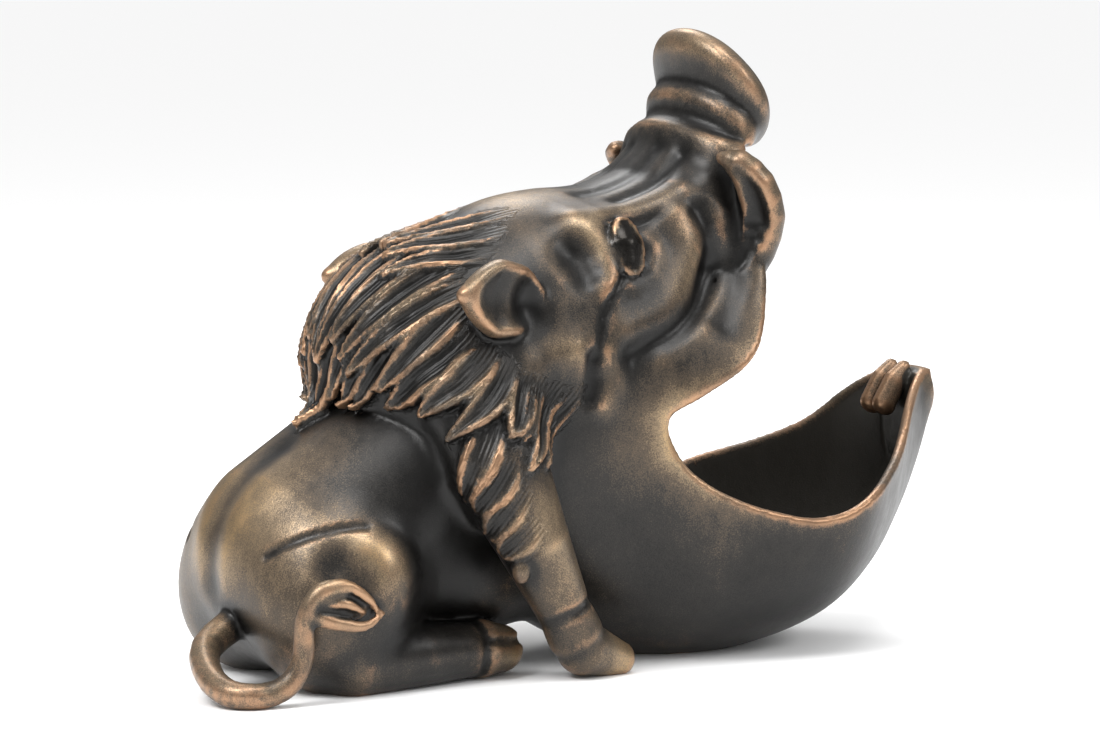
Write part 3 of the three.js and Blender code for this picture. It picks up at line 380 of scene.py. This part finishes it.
def jaws(p):
    d = cranium(p)
    for form, blend in HEAD_FORMS:
        d = smooth_union(d, form(p), blend)
    return d


def body_around(p, head):
    d = smooth_union(torso(p), head, TORSO_BLEND)
    for form, blend in BODY_FORMS:
        d = smooth_union(d, form(p), blend)
    return d


def bare_body(p):
    return body_around(p, jaws(p))


lip_edge = side_outline(LIP_EDGE)
mouth_back = side_outline(MOUTH_BACK)


def open_mouth_body(p):
    x, side, z = p.T
    head = jaws(p)
    solid = body_around(p, head)
    reach = np.nonzero(x > 0)[0]
    x, side, z = x[reach], side[reach], z[reach]
    back = mouth_back(x - F(BACK_WALL_BOW) * (side / F(BACK_WALL_HALF_WIDTH)) ** 2, z)
    hollow = -smooth_union(-(head[reach] + F(JAW_WALL)), -back, MOUTH_ROUNDING)
    hollowed = smooth_cut(solid[reach], np.maximum(hollow, x - TIP_THICKNESS_STARTS_AT), MOUTH_BLEND)
    solid[reach] = smooth_cut(hollowed, lip_edge(x, z), LIP_ROUNDING)
    return solid


# Features laid over the body one after another, each working only inside its own box
def feature(points, margin, change):
    points = np.atleast_2d(np.array(points, F))
    return points.min(0) - F(margin), points.max(0) + F(margin), change


def inside_box(p, low, high):
    return np.nonzero(((p >= low) & (p <= high)).all(1))[0]


def apply_features(features, p, d):
    for low, high, change in features:
        within = inside_box(p, low, high)
        if len(within):
            d[within] = change(p[within], d[within])
    return d


def add_form(form, points, reach, blend):
    return feature(points, reach + FORM_MARGIN, lambda p, d: smooth_union(d, form(p), blend))


def squared_distance(p, path):
    nearest = np.full(len(p), FAR, F)
    for a, b in zip(path, path[1:]):
        along = b - a
        t = np.clip(((p - a) @ along) / (along @ along), 0, 1)
        off = p - a - t[:, None] * along
        nearest = np.minimum(nearest, (off * off).sum(1))
    return nearest


def fold_along(path, width, height):
    curve = (smooth_curve(path, FOLD_STEPS) if len(path) > 2 else np.array(path)).astype(F)

    def change(p, d):
        return d - F(height) * np.exp(-squared_distance(p, curve) / F(width * width))

    return feature(curve, width * FOLD_REACH, change)


def skin_fold(path, width, height):
    return fold_along(settle_on_body(np.array(path, F))[0], width, height)


def snout_roll(x, z, side, rise):
    ahead = np.array([math.sin(ROLL_LEAN), 0, math.cos(ROLL_LEAN)])
    path = []
    for i in range(ROLL_STEPS + 1):
        angle = ROLL_SWEEP * i / ROLL_STEPS
        up = rise * math.cos(angle)
        path.append((x - up * ahead[2], abs(side * math.sin(angle)), z + up * ahead[0]))
    groove = [tuple(np.array(p) + ROLL_GAP * ahead) for p in path]
    return [
        fold_along(path, ROLL_WIDTH, ROLL_HEIGHT),
        fold_along(groove, ROLL_WIDTH * ROLL_GROOVE_WIDTH, ROLL_HEIGHT * ROLL_GROOVE_HEIGHT),
    ]


def ear_form(inset):
    bowl = ellipsoid(EAR_CENTRE, np.array(EAR_RADII) - inset, EAR_PITCH, EAR_YAW)
    across = [radius - inset for radius in EAR_POINT_ACROSS]
    deep = [radius - inset for radius in EAR_POINT_DEEP]
    point = limb(EAR_POINT, across, deep, facing=(0, 0, 1))
    return lambda p: smooth_union(bowl(p), point(p), 7)


def ear():
    outside = ear_form(0)
    hollow = ear_form(EAR_RIM)
    shift = np.array(EAR_HOLLOW_SHIFT, F)
    ear_hole = ellipsoid(**EAR_HOLE)

    def change(p, d):
        cupped = smooth_cut(outside(p), hollow(p - shift), 1.5)
        return smooth_cut(smooth_union(d, cupped, 2.5), ear_hole(p), 6)

    return feature([EAR_CENTRE, EAR_POINT[1]], EAR_REACH, change)


# Hair locks: leaf-shaped blades that follow the body, hollowed down the middle
def slope_of_body(p):
    steps = np.eye(3, dtype=F) * F(SLOPE_STEP)
    return np.stack([(bare_body(p + s) - bare_body(p - s)) / F(2 * SLOPE_STEP) for s in steps], 1)


def settle_on_body(p):
    for _ in range(SETTLE_ROUNDS):
        slope = slope_of_body(p)
        p = p - (bare_body(p) / np.maximum((slope * slope).sum(1), LEAST_SETTLE_SLOPE))[:, None] * slope
    normal = slope_of_body(p)
    return p, normal / np.linalg.norm(normal, axis=1)[:, None]


def lock(root, tip, half, thick, lift, bend):
    t = np.linspace(0, 1, LOCK_STEPS + 1).astype(F)[:, None]
    path, normals = settle_on_body((1 - t) * root + t * tip + 4 * t * (1 - t) * np.array(bend, F))
    path = path + normals * (lift * t * t - thick * (LOCK_SUNK + LOCK_ROOT_SUNK * (1 - t) ** 4))
    leaf = np.sin(np.pi * (LEAF_START + LEAF_SPAN * t[:, 0])) ** LEAF_POWER
    leaf = np.maximum(leaf, LEAF_LEAST)
    facing = np.cross(normals[:-1] + normals[1:], path[1:] - path[:-1])
    across = half * leaf
    deep = thick * (LOCK_EDGE_DEPTH + (1 - LOCK_EDGE_DEPTH) * leaf)
    blade = rod(path, across, deep, facing)
    raised = path + normals * (LOCK_GROOVE_RAISED * deep)[:, None]
    groove = limb(raised, LOCK_GROOVE_ACROSS * across, LOCK_GROOVE_DEEP * deep, facing)

    def change(p, d):
        return smooth_union(d, smooth_cut(blade(p)[0], groove(p), 1), 1.2)

    return feature(path, half + LOCK_MARGIN, change), blade


def lock_row(root_a, root_b, tip_a, tip_b, count, half, thick, lift, bend):
    locks = []
    for i in range(count):
        f = i / (count - 1)
        root = np.array(root_a, F) * (1 - f) + np.array(root_b, F) * f
        tip = np.array(tip_a, F) * (1 - f) + np.array(tip_b, F) * f
        tip = root + (tip - root) * (1 + 0.12 * math.cos(2.3 * i + half))
        locks.append(lock(root, tip, half * (1 + 0.1 * math.sin(1.9 * i)), thick, lift, bend))
    return locks


LOCKS = [made for row in LOCK_ROWS for made in lock_row(*row)]


def tusk_hollow():
    hollow = smooth_limb(TUSK_HOLLOW, TUSK_HOLLOW_RADII, 2)
    return feature(TUSK_HOLLOW, 8, lambda p, d: smooth_cut(d, hollow(p), 2))


eyeball = limb(EYEBALL, EYE_PROUD, EYE_HALF_WIDTH)


def eyelids():
    ring = []
    for i in range(LID_RING["steps"] + 1):
        angle = 2 * math.pi * i / LID_RING["steps"]
        reach = LID_RING["front"] if math.cos(angle) > 0 else LID_RING["back"]
        x = reach * math.cos(angle)
        z = LID_RING["tall"] * math.sin(angle)
        ring.append(np.array(LID_CENTRE) + (x, LID_RING["lean"] * z + LID_RING["swell"] * x, z))
    return add_form(limb(ring, [LID_RADIUS] * len(ring)), ring, LID_RADIUS, 1.2)


def add_ellipsoid(form, blend):
    return add_form(ellipsoid(**form), form["centre"], max(form["radii"]), blend)


def add_limb(form, blend):
    return add_form(limb(*form), form[0], max(form[-1]), blend)


FEATURES = [
    *[skin_fold(*fold) for fold in FOLDS],
    *[made for roll in SNOUT_ROLLS for made in snout_roll(*roll)],
    add_ellipsoid(NOSE_DISC, 8),
    fold_along(*NOSTRIL),
    add_limb(HIND_HOOF, 0.8),
    add_limb(FORE_HOOF, 0.8),
    add_ellipsoid(DEWCLAW, 1),
    *[fold_along(*line) for line in HOOF_LINES],
    *[change for change, _ in LOCKS],
    ear(),
    add_form(eyeball, EYEBALL, max(EYE_HALF_WIDTH), 1),
    eyelids(),
    add_form(smooth_limb(TUSK, TUSK_RADII, 2), TUSK, max(TUSK_RADII), 1.5),
    tusk_hollow(),
    add_limb(TOOTH, 0.8),
]
TAIL_FEATURES = [
    add_form(smooth_limb(TAIL, TAIL_RADII, 3), TAIL, max(TAIL_RADII), 1.5),
    add_ellipsoid(TAIL_TUFT, 1),
    *[add_form(smooth_limb(path, [thickest, TAIL_LOCK_TIP], 3), path, thickest, 0.8)
      for path, thickest in TAIL_LOCKS],
]


def mirrored_field(p):
    values = np.empty(len(p), F)
    for start in range(0, len(p), CHUNK):
        part = p[start:start + CHUNK]
        values[start:start + CHUNK] = apply_features(FEATURES, part, open_mouth_body(part))
    return values


# The field on a grid, worked out on one side and only near the surface, then mirrored; the tail is added last
def sample_field():
    cells = [int(round(s / GRID)) for s in FIELD_SIZE]
    half = cells[1] // 2
    axes = [np.arange(cells[0] + 1), np.arange(half + 1), np.arange(cells[2] + 1)]
    start = np.array([FIELD_LOW[0], 0.0, FIELD_LOW[2]])
    blocks = [np.arange(0, len(a), BLOCK) for a in axes]
    middles = np.stack(np.meshgrid(*blocks, indexing="ij"), -1).reshape(-1, 3) + (BLOCK - 1) / 2
    coarse = mirrored_field((start + GRID * middles).astype(F)).reshape([len(b) for b in blocks])
    values = coarse
    for axis, places in enumerate(axes):
        values = np.repeat(values, BLOCK, axis)
        values = np.take(values, places, axis)
    near = np.argwhere(np.abs(values) < NEAR_SURFACE)
    values[tuple(near.T)] = mirrored_field((start + GRID * near).astype(F))
    whole = np.concatenate([values[:, :0:-1], values], 1)
    around_tail = np.argwhere(np.abs(whole[:cells[0] // 3, :half]) < 4 * NEAR_SURFACE)
    p = (np.array(FIELD_LOW) + GRID * around_tail).astype(F)
    whole[tuple(around_tail.T)] = apply_features(TAIL_FEATURES, p, whole[tuple(around_tail.T)])
    heights = FIELD_LOW[2] + GRID * axes[2]
    return np.maximum(whole, -heights.astype(F))


# One corner in each grid cell that the surface crosses, and a four-sided face round each crossed grid edge
def surface_net(values):
    solid = values < 0
    size = np.array(values.shape)
    corners = np.array([(i, j, k) for i in (0, 1) for j in (0, 1) for k in (0, 1)])
    count = np.zeros(size - 1, np.int8)
    for i, j, k in corners:
        count += solid[i:size[0] - 1 + i, j:size[1] - 1 + j, k:size[2] - 1 + k]
    cells = np.argwhere((count > 0) & (count < 8))
    at = values[tuple((cells[:, None, :] + corners).transpose(2, 0, 1))]
    total = np.zeros((len(cells), 3))
    crossings = np.zeros(len(cells))
    for a in range(8):
        for b in range(a + 1, 8):
            step = corners[b] - corners[a]
            if np.abs(step).sum() != 1:
                continue
            crossed = (at[:, a] < 0) != (at[:, b] < 0)
            t = np.where(crossed, at[:, a] / (at[:, a] - at[:, b] + 1e-12), 0)
            total += np.where(crossed[:, None], corners[a] + t[:, None] * step, 0)
            crossings += crossed
    points = np.array(FIELD_LOW) + GRID * (cells + total / crossings[:, None])
    number = np.full(size - 1, -1, np.int32)
    number[tuple(cells.T)] = np.arange(len(cells))
    return points, np.concatenate([net_faces(solid, number, axis) for axis in range(3)])


def net_faces(solid, number, axis):
    before = [slice(1, -1)] * 3
    after = [slice(1, -1)] * 3
    before[axis] = slice(0, -1)
    after[axis] = slice(1, None)
    first, second = solid[tuple(before)], solid[tuple(after)]
    crossed = first != second
    cell = np.argwhere(crossed) + (np.arange(3) != axis)
    u, v = np.eye(3, dtype=int)[(axis + 1) % 3], np.eye(3, dtype=int)[(axis + 2) % 3]
    faces = np.stack([number[tuple(c.T)] for c in (cell - u - v, cell - v, cell, cell - u)], 1)
    inward = ~first[crossed]
    faces[inward] = faces[inward][:, ::-1]
    return faces


# The casting as a Blender mesh, thinned out where it is smooth
def mesh_from(points, faces):
    mesh = bpy.data.meshes.new("warthog_casting")
    mesh.vertices.add(len(points))
    mesh.vertices.foreach_set("co", ((points + ROW_SHIFT) * MM).astype(F).ravel())
    mesh.loops.add(faces.size)
    mesh.loops.foreach_set("vertex_index", faces.astype(np.int32).ravel())
    mesh.polygons.add(len(faces))
    mesh.polygons.foreach_set("loop_start", np.arange(0, faces.size, 4, dtype=np.int32))
    mesh.update(calc_edges=True)
    mesh.validate()
    return mesh


def thinned(mesh):
    coarse = bpy.data.objects.new("net", mesh)
    bpy.context.scene.collection.objects.link(coarse)
    decimate = coarse.modifiers.new("thin", "DECIMATE")
    decimate.ratio = min(1.0, TRIANGLES / (2 * len(mesh.polygons)))
    decimate.use_collapse_triangulate = True
    graph = bpy.context.evaluated_depsgraph_get()
    made = bpy.data.meshes.new_from_object(coarse.evaluated_get(graph))
    bpy.data.objects.remove(coarse)
    made.polygons.foreach_set("use_smooth", np.ones(len(made.polygons), bool))
    return made


# What the patina follows: how far each point stands out from the surface around it, which way it faces, and
# named places; the facing and the places also carry painted highlights and painted shade
FINE_ROUNDS = 4
MIDDLE_ROUNDS = 30
BROAD_ROUNDS = 200
FINE_SCALE = 0.25
MIDDLE_SCALE = 0.8
BROAD_SCALE = 3.0
HAIR_REACH = 1.5
# Place, radius and strength: above zero lighter with rubbed gold and painted highlights, below zero kept dark
# as painted shade under the bowl and the belly, and darker on the flank
RUBBED_AND_PAINTED_LIGHT_PLACES = [
    ((-18, 3, 166), 16, 0.22),
    ((-49, 50, 133), 10, 0.22),
    ((-4, 39, 150), 11, 0.34),
    ((31, 43, 137), 13, 0.32),
    ((12, 30, 162), 16, 0.16),
    ((-22, 50, 113), 14, 0.25),
    # Partly rubbed gold, partly painted highlights: knee, rump, back and upper bowl
    ((-97, 53, 52), 15, 0.36),
    ((-132, 12, 52), 26, 0.36),
    ((-105, 16, 82), 24, 0.16),
    ((8, 55, 84), 20, 0.36),
    ((27, 59, 57), 26, 0.12),
    ((-42, 65, 60), 18, 0.38),
    ((-30, 60, 36), 12, 0.2),
    ((-56, 52, 100), 20, 0.12),
    ((-2, 48, 5), 12, 0.5),
    ((-36, 36, 10), 11, 0.42),
    ((-110, 58, 33), 13, 0.22),
    ((62, 0, 222), 26, 0.12),
    ((-70, 28, 132), 34, 0.08),
    # Painted shade under the bowl and the belly, and a darker patch on the flank
    ((100, 40, 24), 55, -0.22),
    ((50, 60, 20), 40, -0.16),
    ((-70, 44, 22), 30, -0.2),
    ((-78, 42, 74), 24, -0.2),
    ((-64, 44, 48), 22, -0.2),
]


def vertex_array(mesh, name):
    values = np.zeros(len(mesh.vertices) * 3, F)
    mesh.vertices.foreach_get(name, values)
    return values.reshape(-1, 3)


def proud_of_neighbours(points, normals, edges, rounds):
    ends = np.concatenate([edges, edges[:, ::-1]])
    valence = np.bincount(ends[:, 0], minlength=len(points))[:, None]
    smooth = points.astype(float)
    for _ in range(rounds):
        sums = [np.bincount(ends[:, 0], smooth[ends[:, 1], k], len(points)) for k in range(3)]
        smooth = 0.5 * smooth + 0.5 * np.stack(sums, 1) / valence
    return ((points - smooth) * normals).sum(1)


def lock_offsets(points):
    offset = np.zeros(len(points), F)
    nearest = np.full(len(points), HAIR_REACH, F)
    for (low, high, _), blade in LOCKS:
        within = inside_box(points, low, high)
        distance, across = blade(points[within])
        closer = distance < nearest[within]
        nearest[within[closer]] = distance[closer]
        offset[within[closer]] = across[closer]
    return offset, (nearest < HAIR_REACH).astype(F)


def add_attribute(mesh, name, values):
    mesh.attributes.new(name, "FLOAT", "POINT").data.foreach_set("value", values.astype(F))


def measure_patina(mesh):
    points = vertex_array(mesh, "co") / MM - ROW_SHIFT
    normals = vertex_array(mesh, "normal")
    edges = np.zeros(len(mesh.edges) * 2, np.int32)
    mesh.edges.foreach_get("vertices", edges)
    edges = edges.reshape(-1, 2)
    folded = np.stack([points[:, 0], np.abs(points[:, 1]), points[:, 2]], 1).astype(F)
    fine = proud_of_neighbours(points, normals, edges, FINE_ROUNDS)
    middle = proud_of_neighbours(points, normals, edges, MIDDLE_ROUNDS)
    broad = proud_of_neighbours(points, normals, edges, BROAD_ROUNDS)
    # Named places: rubbed gold and painted highlights where the strength is above zero, painted shade where
    # it is below
    places = np.zeros(len(points))
    for centre, radius, strength in RUBBED_AND_PAINTED_LIGHT_PLACES:
        away = ((folded - np.array(centre)) ** 2).sum(1)
        places += strength * np.exp(-away / radius**2)
    add_attribute(mesh, "fine", np.clip(fine / FINE_SCALE, -1, 1))
    add_attribute(mesh, "middle", np.clip(middle / MIDDLE_SCALE, -1, 1))
    add_attribute(mesh, "broad", np.clip(broad / BROAD_SCALE, -1, 1))
    add_attribute(mesh, "places", np.clip(places, -1, 1))
    # Which way each point faces: tops take more rubbed gold as dry-brushing does, and undersides go darker as
    # painted shade
    add_attribute(mesh, "up", normals[:, 2])
    offset, hairy = lock_offsets(folded)
    add_attribute(mesh, "hair_across", offset)
    add_attribute(mesh, "hairy", hairy)
    inside = inside_mouth(folded)
    add_attribute(mesh, "bowl", inside)
    add_attribute(mesh, "eye", np.clip((0.5 - eyeball(folded)) / 0.3, 0, 1))


def inside_mouth(folded):
    head = jaws(folded)
    return np.clip((-head - 0.6 * JAW_WALL) / (0.3 * JAW_WALL), 0, 1) * (folded[:, 0] > 4)


# Materials
class Nodes:
    def __init__(self, name):
        self.material = bpy.data.materials.new(name)
        self.material.use_nodes = True
        self.tree = self.material.node_tree
        self.shader = self.tree.nodes["Principled BSDF"]

    def put(self, socket, value):
        if isinstance(value, bpy.types.NodeSocket):
            self.tree.links.new(value, socket)
        else:
            socket.default_value = value

    def math(self, operation, a, b=0.0, clamp=False):
        node = self.tree.nodes.new("ShaderNodeMath")
        node.operation = operation
        node.use_clamp = clamp
        self.put(node.inputs[0], a)
        self.put(node.inputs[1], b)
        return node.outputs[0]

    def total(self, *terms):
        result = terms[0]
        for term in terms[1:]:
            result = self.math("ADD", result, term)
        return result

    def times(self, a, b):
        return self.math("MULTIPLY", a, b)

    def attribute(self, name):
        node = self.tree.nodes.new("ShaderNodeAttribute")
        node.attribute_name = name
        return node.outputs["Fac"]

    def place(self, stretch=(1, 1, 1)):
        coordinates = self.tree.nodes.new("ShaderNodeTexCoord")
        mapping = self.tree.nodes.new("ShaderNodeMapping")
        mapping.inputs["Scale"].default_value = stretch
        self.tree.links.new(coordinates.outputs["Object"], mapping.inputs["Vector"])
        return mapping.outputs["Vector"]

    def noise(self, scale, detail=3.0, roughness=0.55, stretch=(1, 1, 1)):
        node = self.tree.nodes.new("ShaderNodeTexNoise")
        self.tree.links.new(self.place(stretch), node.inputs["Vector"])
        node.inputs["Scale"].default_value = scale
        node.inputs["Detail"].default_value = detail
        node.inputs["Roughness"].default_value = roughness
        return node.outputs["Fac"]

    def between(self, value, low, high):
        node = self.tree.nodes.new("ShaderNodeMapRange")
        node.interpolation_type = "SMOOTHSTEP"
        self.put(node.inputs["Value"], value)
        node.inputs["From Min"].default_value = low
        node.inputs["From Max"].default_value = high
        return node.outputs["Result"]

    def ramp(self, value, stops):
        node = self.tree.nodes.new("ShaderNodeValToRGB")
        self.put(node.inputs["Fac"], value)
        ends = node.color_ramp.elements
        while len(ends) < len(stops):
            ends.new(0.5)
        for element, (place, colour) in zip(ends, stops):
            element.position = place
            element.color = (*colour, 1)
        return node.outputs["Color"]

    def mix(self, share, a, b):
        node = self.tree.nodes.new("ShaderNodeMix")
        node.data_type = "RGBA"
        self.put(node.inputs["Factor"], share)
        self.put(node.inputs[6], a)
        self.put(node.inputs[7], b)
        return node.outputs[2]

    def bump(self, height, distance, strength=1.0, under=None):
        node = self.tree.nodes.new("ShaderNodeBump")
        node.inputs["Strength"].default_value = strength
        node.inputs["Distance"].default_value = distance
        self.put(node.inputs["Height"], height)
        if under is not None:
            self.put(node.inputs["Normal"], under)
        return node.outputs["Normal"]


BLACK_BROWN = (0.0035, 0.003, 0.0026)
CHARCOAL = (0.020, 0.0175, 0.015)
BRONZE = (0.088, 0.066, 0.046)
TAN = (0.29, 0.215, 0.138)
GOLD = (0.50, 0.345, 0.185)
COPPER = (0.50, 0.29, 0.17, 1)
BOWL_GREY = (0.040, 0.036, 0.030, 1)
EYE_BLACK = (0.02, 0.018, 0.016, 1)


def antiqued_bronze():
    n = Nodes("antiqued_bronze")
    speckle = n.noise(2200, 1.0, 0.5)
    brushed = n.noise(230, 4.0, 0.65, stretch=(1, 1, 0.5))
    clouds = n.noise(42, 3.0)
    grain = n.total(
        n.times(n.math("SUBTRACT", speckle, 0.5), 0.9),
        n.times(n.math("SUBTRACT", brushed, 0.5), 0.5),
        n.times(n.math("SUBTRACT", clouds, 0.5), 0.35),
    )
    # Patina level: dark in hollows and gold on raised forms as the antiqued finish is, plus painted shade on
    # undersides and painted highlights and shade at the named places
    relief_and_painted_light = n.total(
        n.times(n.attribute("middle"), 0.3),
        n.times(n.attribute("broad"), 0.12),
        # facing up: partly dry-brushed tops, partly painted shade on the undersides
        n.times(n.attribute("up"), 0.10),
        # named places: rubbed gold, painted highlights, and painted shade below zero
        n.attribute("places"),
        0.15,
    )
    patina_and_painted_light = n.math("ADD", relief_and_painted_light, n.times(grain, 0.6), clamp=True)
    stops = [(0.0, BLACK_BROWN), (0.3, CHARCOAL), (0.55, BRONZE), (0.8, TAN), (1.0, GOLD)]
    colour = n.ramp(patina_and_painted_light, stops)
    edge = n.between(n.math("ADD", n.attribute("fine"), n.times(grain, 0.5)), 0.3, 1.0)
    edge = n.times(edge, n.between(clouds, 0.3, 0.62))
    colour = n.mix(n.times(edge, 0.7), colour, COPPER)
    bowl = n.math("MULTIPLY", n.attribute("bowl"), n.between(n.attribute("fine"), 0.5, 0.2))
    colour = n.mix(n.times(bowl, 0.85), colour, BOWL_GREY)
    colour = n.mix(n.attribute("eye"), colour, EYE_BLACK)
    n.put(n.shader.inputs["Base Color"], colour)
    shine = n.math("MAXIMUM", n.between(patina_and_painted_light, 0.35, 0.9), edge)
    n.put(n.shader.inputs["Metallic"], n.total(0.35, n.times(shine, 0.55)))
    dull = n.total(0.27, n.times(brushed, 0.22), n.times(n.attribute("eye"), -0.15))
    n.put(n.shader.inputs["Roughness"], dull)
    n.shader.inputs["Specular IOR Level"].default_value = 0.5
    strands = n.math("SINE", n.times(n.attribute("hair_across"), 3.6))
    hair = n.times(n.times(strands, n.attribute("hairy")), 0.5)
    relief = n.bump(hair, 0.0003, 0.6)
    relief = n.bump(n.math("ADD", brushed, n.times(speckle, 0.5)), 0.00015, 0.6, relief)
    n.put(n.shader.inputs["Normal"], relief)
    return n.material


# The piece that stands for the solid
mesh = thinned(mesh_from(*surface_net(sample_field())))
measure_patina(mesh)
casting = bpy.data.objects.new("warthog_casting", mesh)
bpy.context.scene.collection.objects.link(casting)
casting.data.materials.append(antiqued_bronze())
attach(casting, "root")
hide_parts("warthog")


# Studio: a pale floor, soft light from above and the sides, and the photograph's view
FLOOR_HALF = 40.0
FLOOR_WHITE = (0.93, 0.93, 0.93, 1)
SKY_WHITE = 1.0
ROOM_DIM = 0.1
ROOM_BRIGHT = 0.7
PHOTO_WIDTH = 1100
FOCAL_PIXELS = 4480
SENSOR_WIDTH = 36.0
VIEW_AZIMUTH = -30.0
VIEW_ELEVATION = 5.5
VIEW_DISTANCE = 1.6
VIEW_AIM = Vector((-0.0035, 0.0, 0.104))


def direction(azimuth, elevation):
    a, e = math.radians(azimuth), math.radians(elevation)
    return Vector((math.sin(a) * math.cos(e), -math.cos(a) * math.cos(e), math.sin(e)))


def make_floor():
    corners = [(-FLOOR_HALF, -FLOOR_HALF, 0), (FLOOR_HALF, -FLOOR_HALF, 0),
               (FLOOR_HALF, FLOOR_HALF, 0), (-FLOOR_HALF, FLOOR_HALF, 0)]
    floor_mesh = bpy.data.meshes.new("floor")
    floor_mesh.from_pydata(corners, [], [(0, 1, 2, 3)])
    floor = bpy.data.objects.new("floor", floor_mesh)
    bpy.context.scene.collection.objects.link(floor)
    paint = Nodes("floor_white")
    paint.shader.inputs["Base Color"].default_value = FLOOR_WHITE
    paint.shader.inputs["Roughness"].default_value = 0.9
    paint.shader.inputs["Specular IOR Level"].default_value = 0.0
    floor_mesh.materials.append(paint.material)


def make_light(name, azimuth, elevation, distance, size, watts):
    light = bpy.data.lights.new(name, "AREA")
    light.shape = "DISK"
    light.size = size
    light.energy = watts
    lamp = bpy.data.objects.new(name, light)
    back = direction(azimuth, elevation)
    lamp.location = VIEW_AIM + back * distance
    lamp.rotation_mode = "QUATERNION"
    lamp.rotation_quaternion = (-back).to_track_quat("-Z", "Y")
    bpy.context.scene.collection.objects.link(lamp)


# White all round for soft light; in reflections the room is dim at eye level and brighter overhead
def make_world():
    world = bpy.data.worlds.new("studio")
    world.use_nodes = True
    tree = world.node_tree
    place = tree.nodes.new("ShaderNodeTexCoord")
    height = tree.nodes.new("ShaderNodeSeparateXYZ")
    tree.links.new(place.outputs["Generated"], height.inputs["Vector"])
    room = tree.nodes.new("ShaderNodeMapRange")
    tree.links.new(height.outputs["Z"], room.inputs["Value"])
    room.inputs["To Min"].default_value = ROOM_DIM
    room.inputs["To Max"].default_value = ROOM_BRIGHT
    rays = tree.nodes.new("ShaderNodeLightPath")
    light = tree.nodes.new("ShaderNodeMix")
    tree.links.new(rays.outputs["Is Glossy Ray"], light.inputs["Factor"])
    light.inputs["A"].default_value = SKY_WHITE
    tree.links.new(room.outputs["Result"], light.inputs["B"])
    tree.links.new(light.outputs["Result"], tree.nodes["Background"].inputs["Strength"])
    tree.nodes["Background"].inputs["Color"].default_value = (1, 1, 1, 1)
    bpy.context.scene.world = world


def make_camera():
    data = bpy.data.cameras.new("camera")
    data.sensor_width = SENSOR_WIDTH
    data.lens = FOCAL_PIXELS / PHOTO_WIDTH * SENSOR_WIDTH
    camera = bpy.data.objects.new("camera", data)
    back = direction(VIEW_AZIMUTH, VIEW_ELEVATION)
    camera.location = VIEW_AIM + back * VIEW_DISTANCE
    camera.rotation_mode = "QUATERNION"
    camera.rotation_quaternion = (-back).to_track_quat("-Z", "Y")
    bpy.context.scene.collection.objects.link(camera)
    bpy.context.scene.camera = camera


make_floor()
make_world()
make_light("key", -75, 48, 1.6, 0.7, 17)
make_light("top", 0, 75, 1.7, 0.8, 12)
make_light("right", 40, 35, 1.9, 0.6, 8)
make_light("back", 160, 45, 1.8, 0.8, 9)
make_camera()
bpy.context.scene.view_settings.view_transform = "Standard"
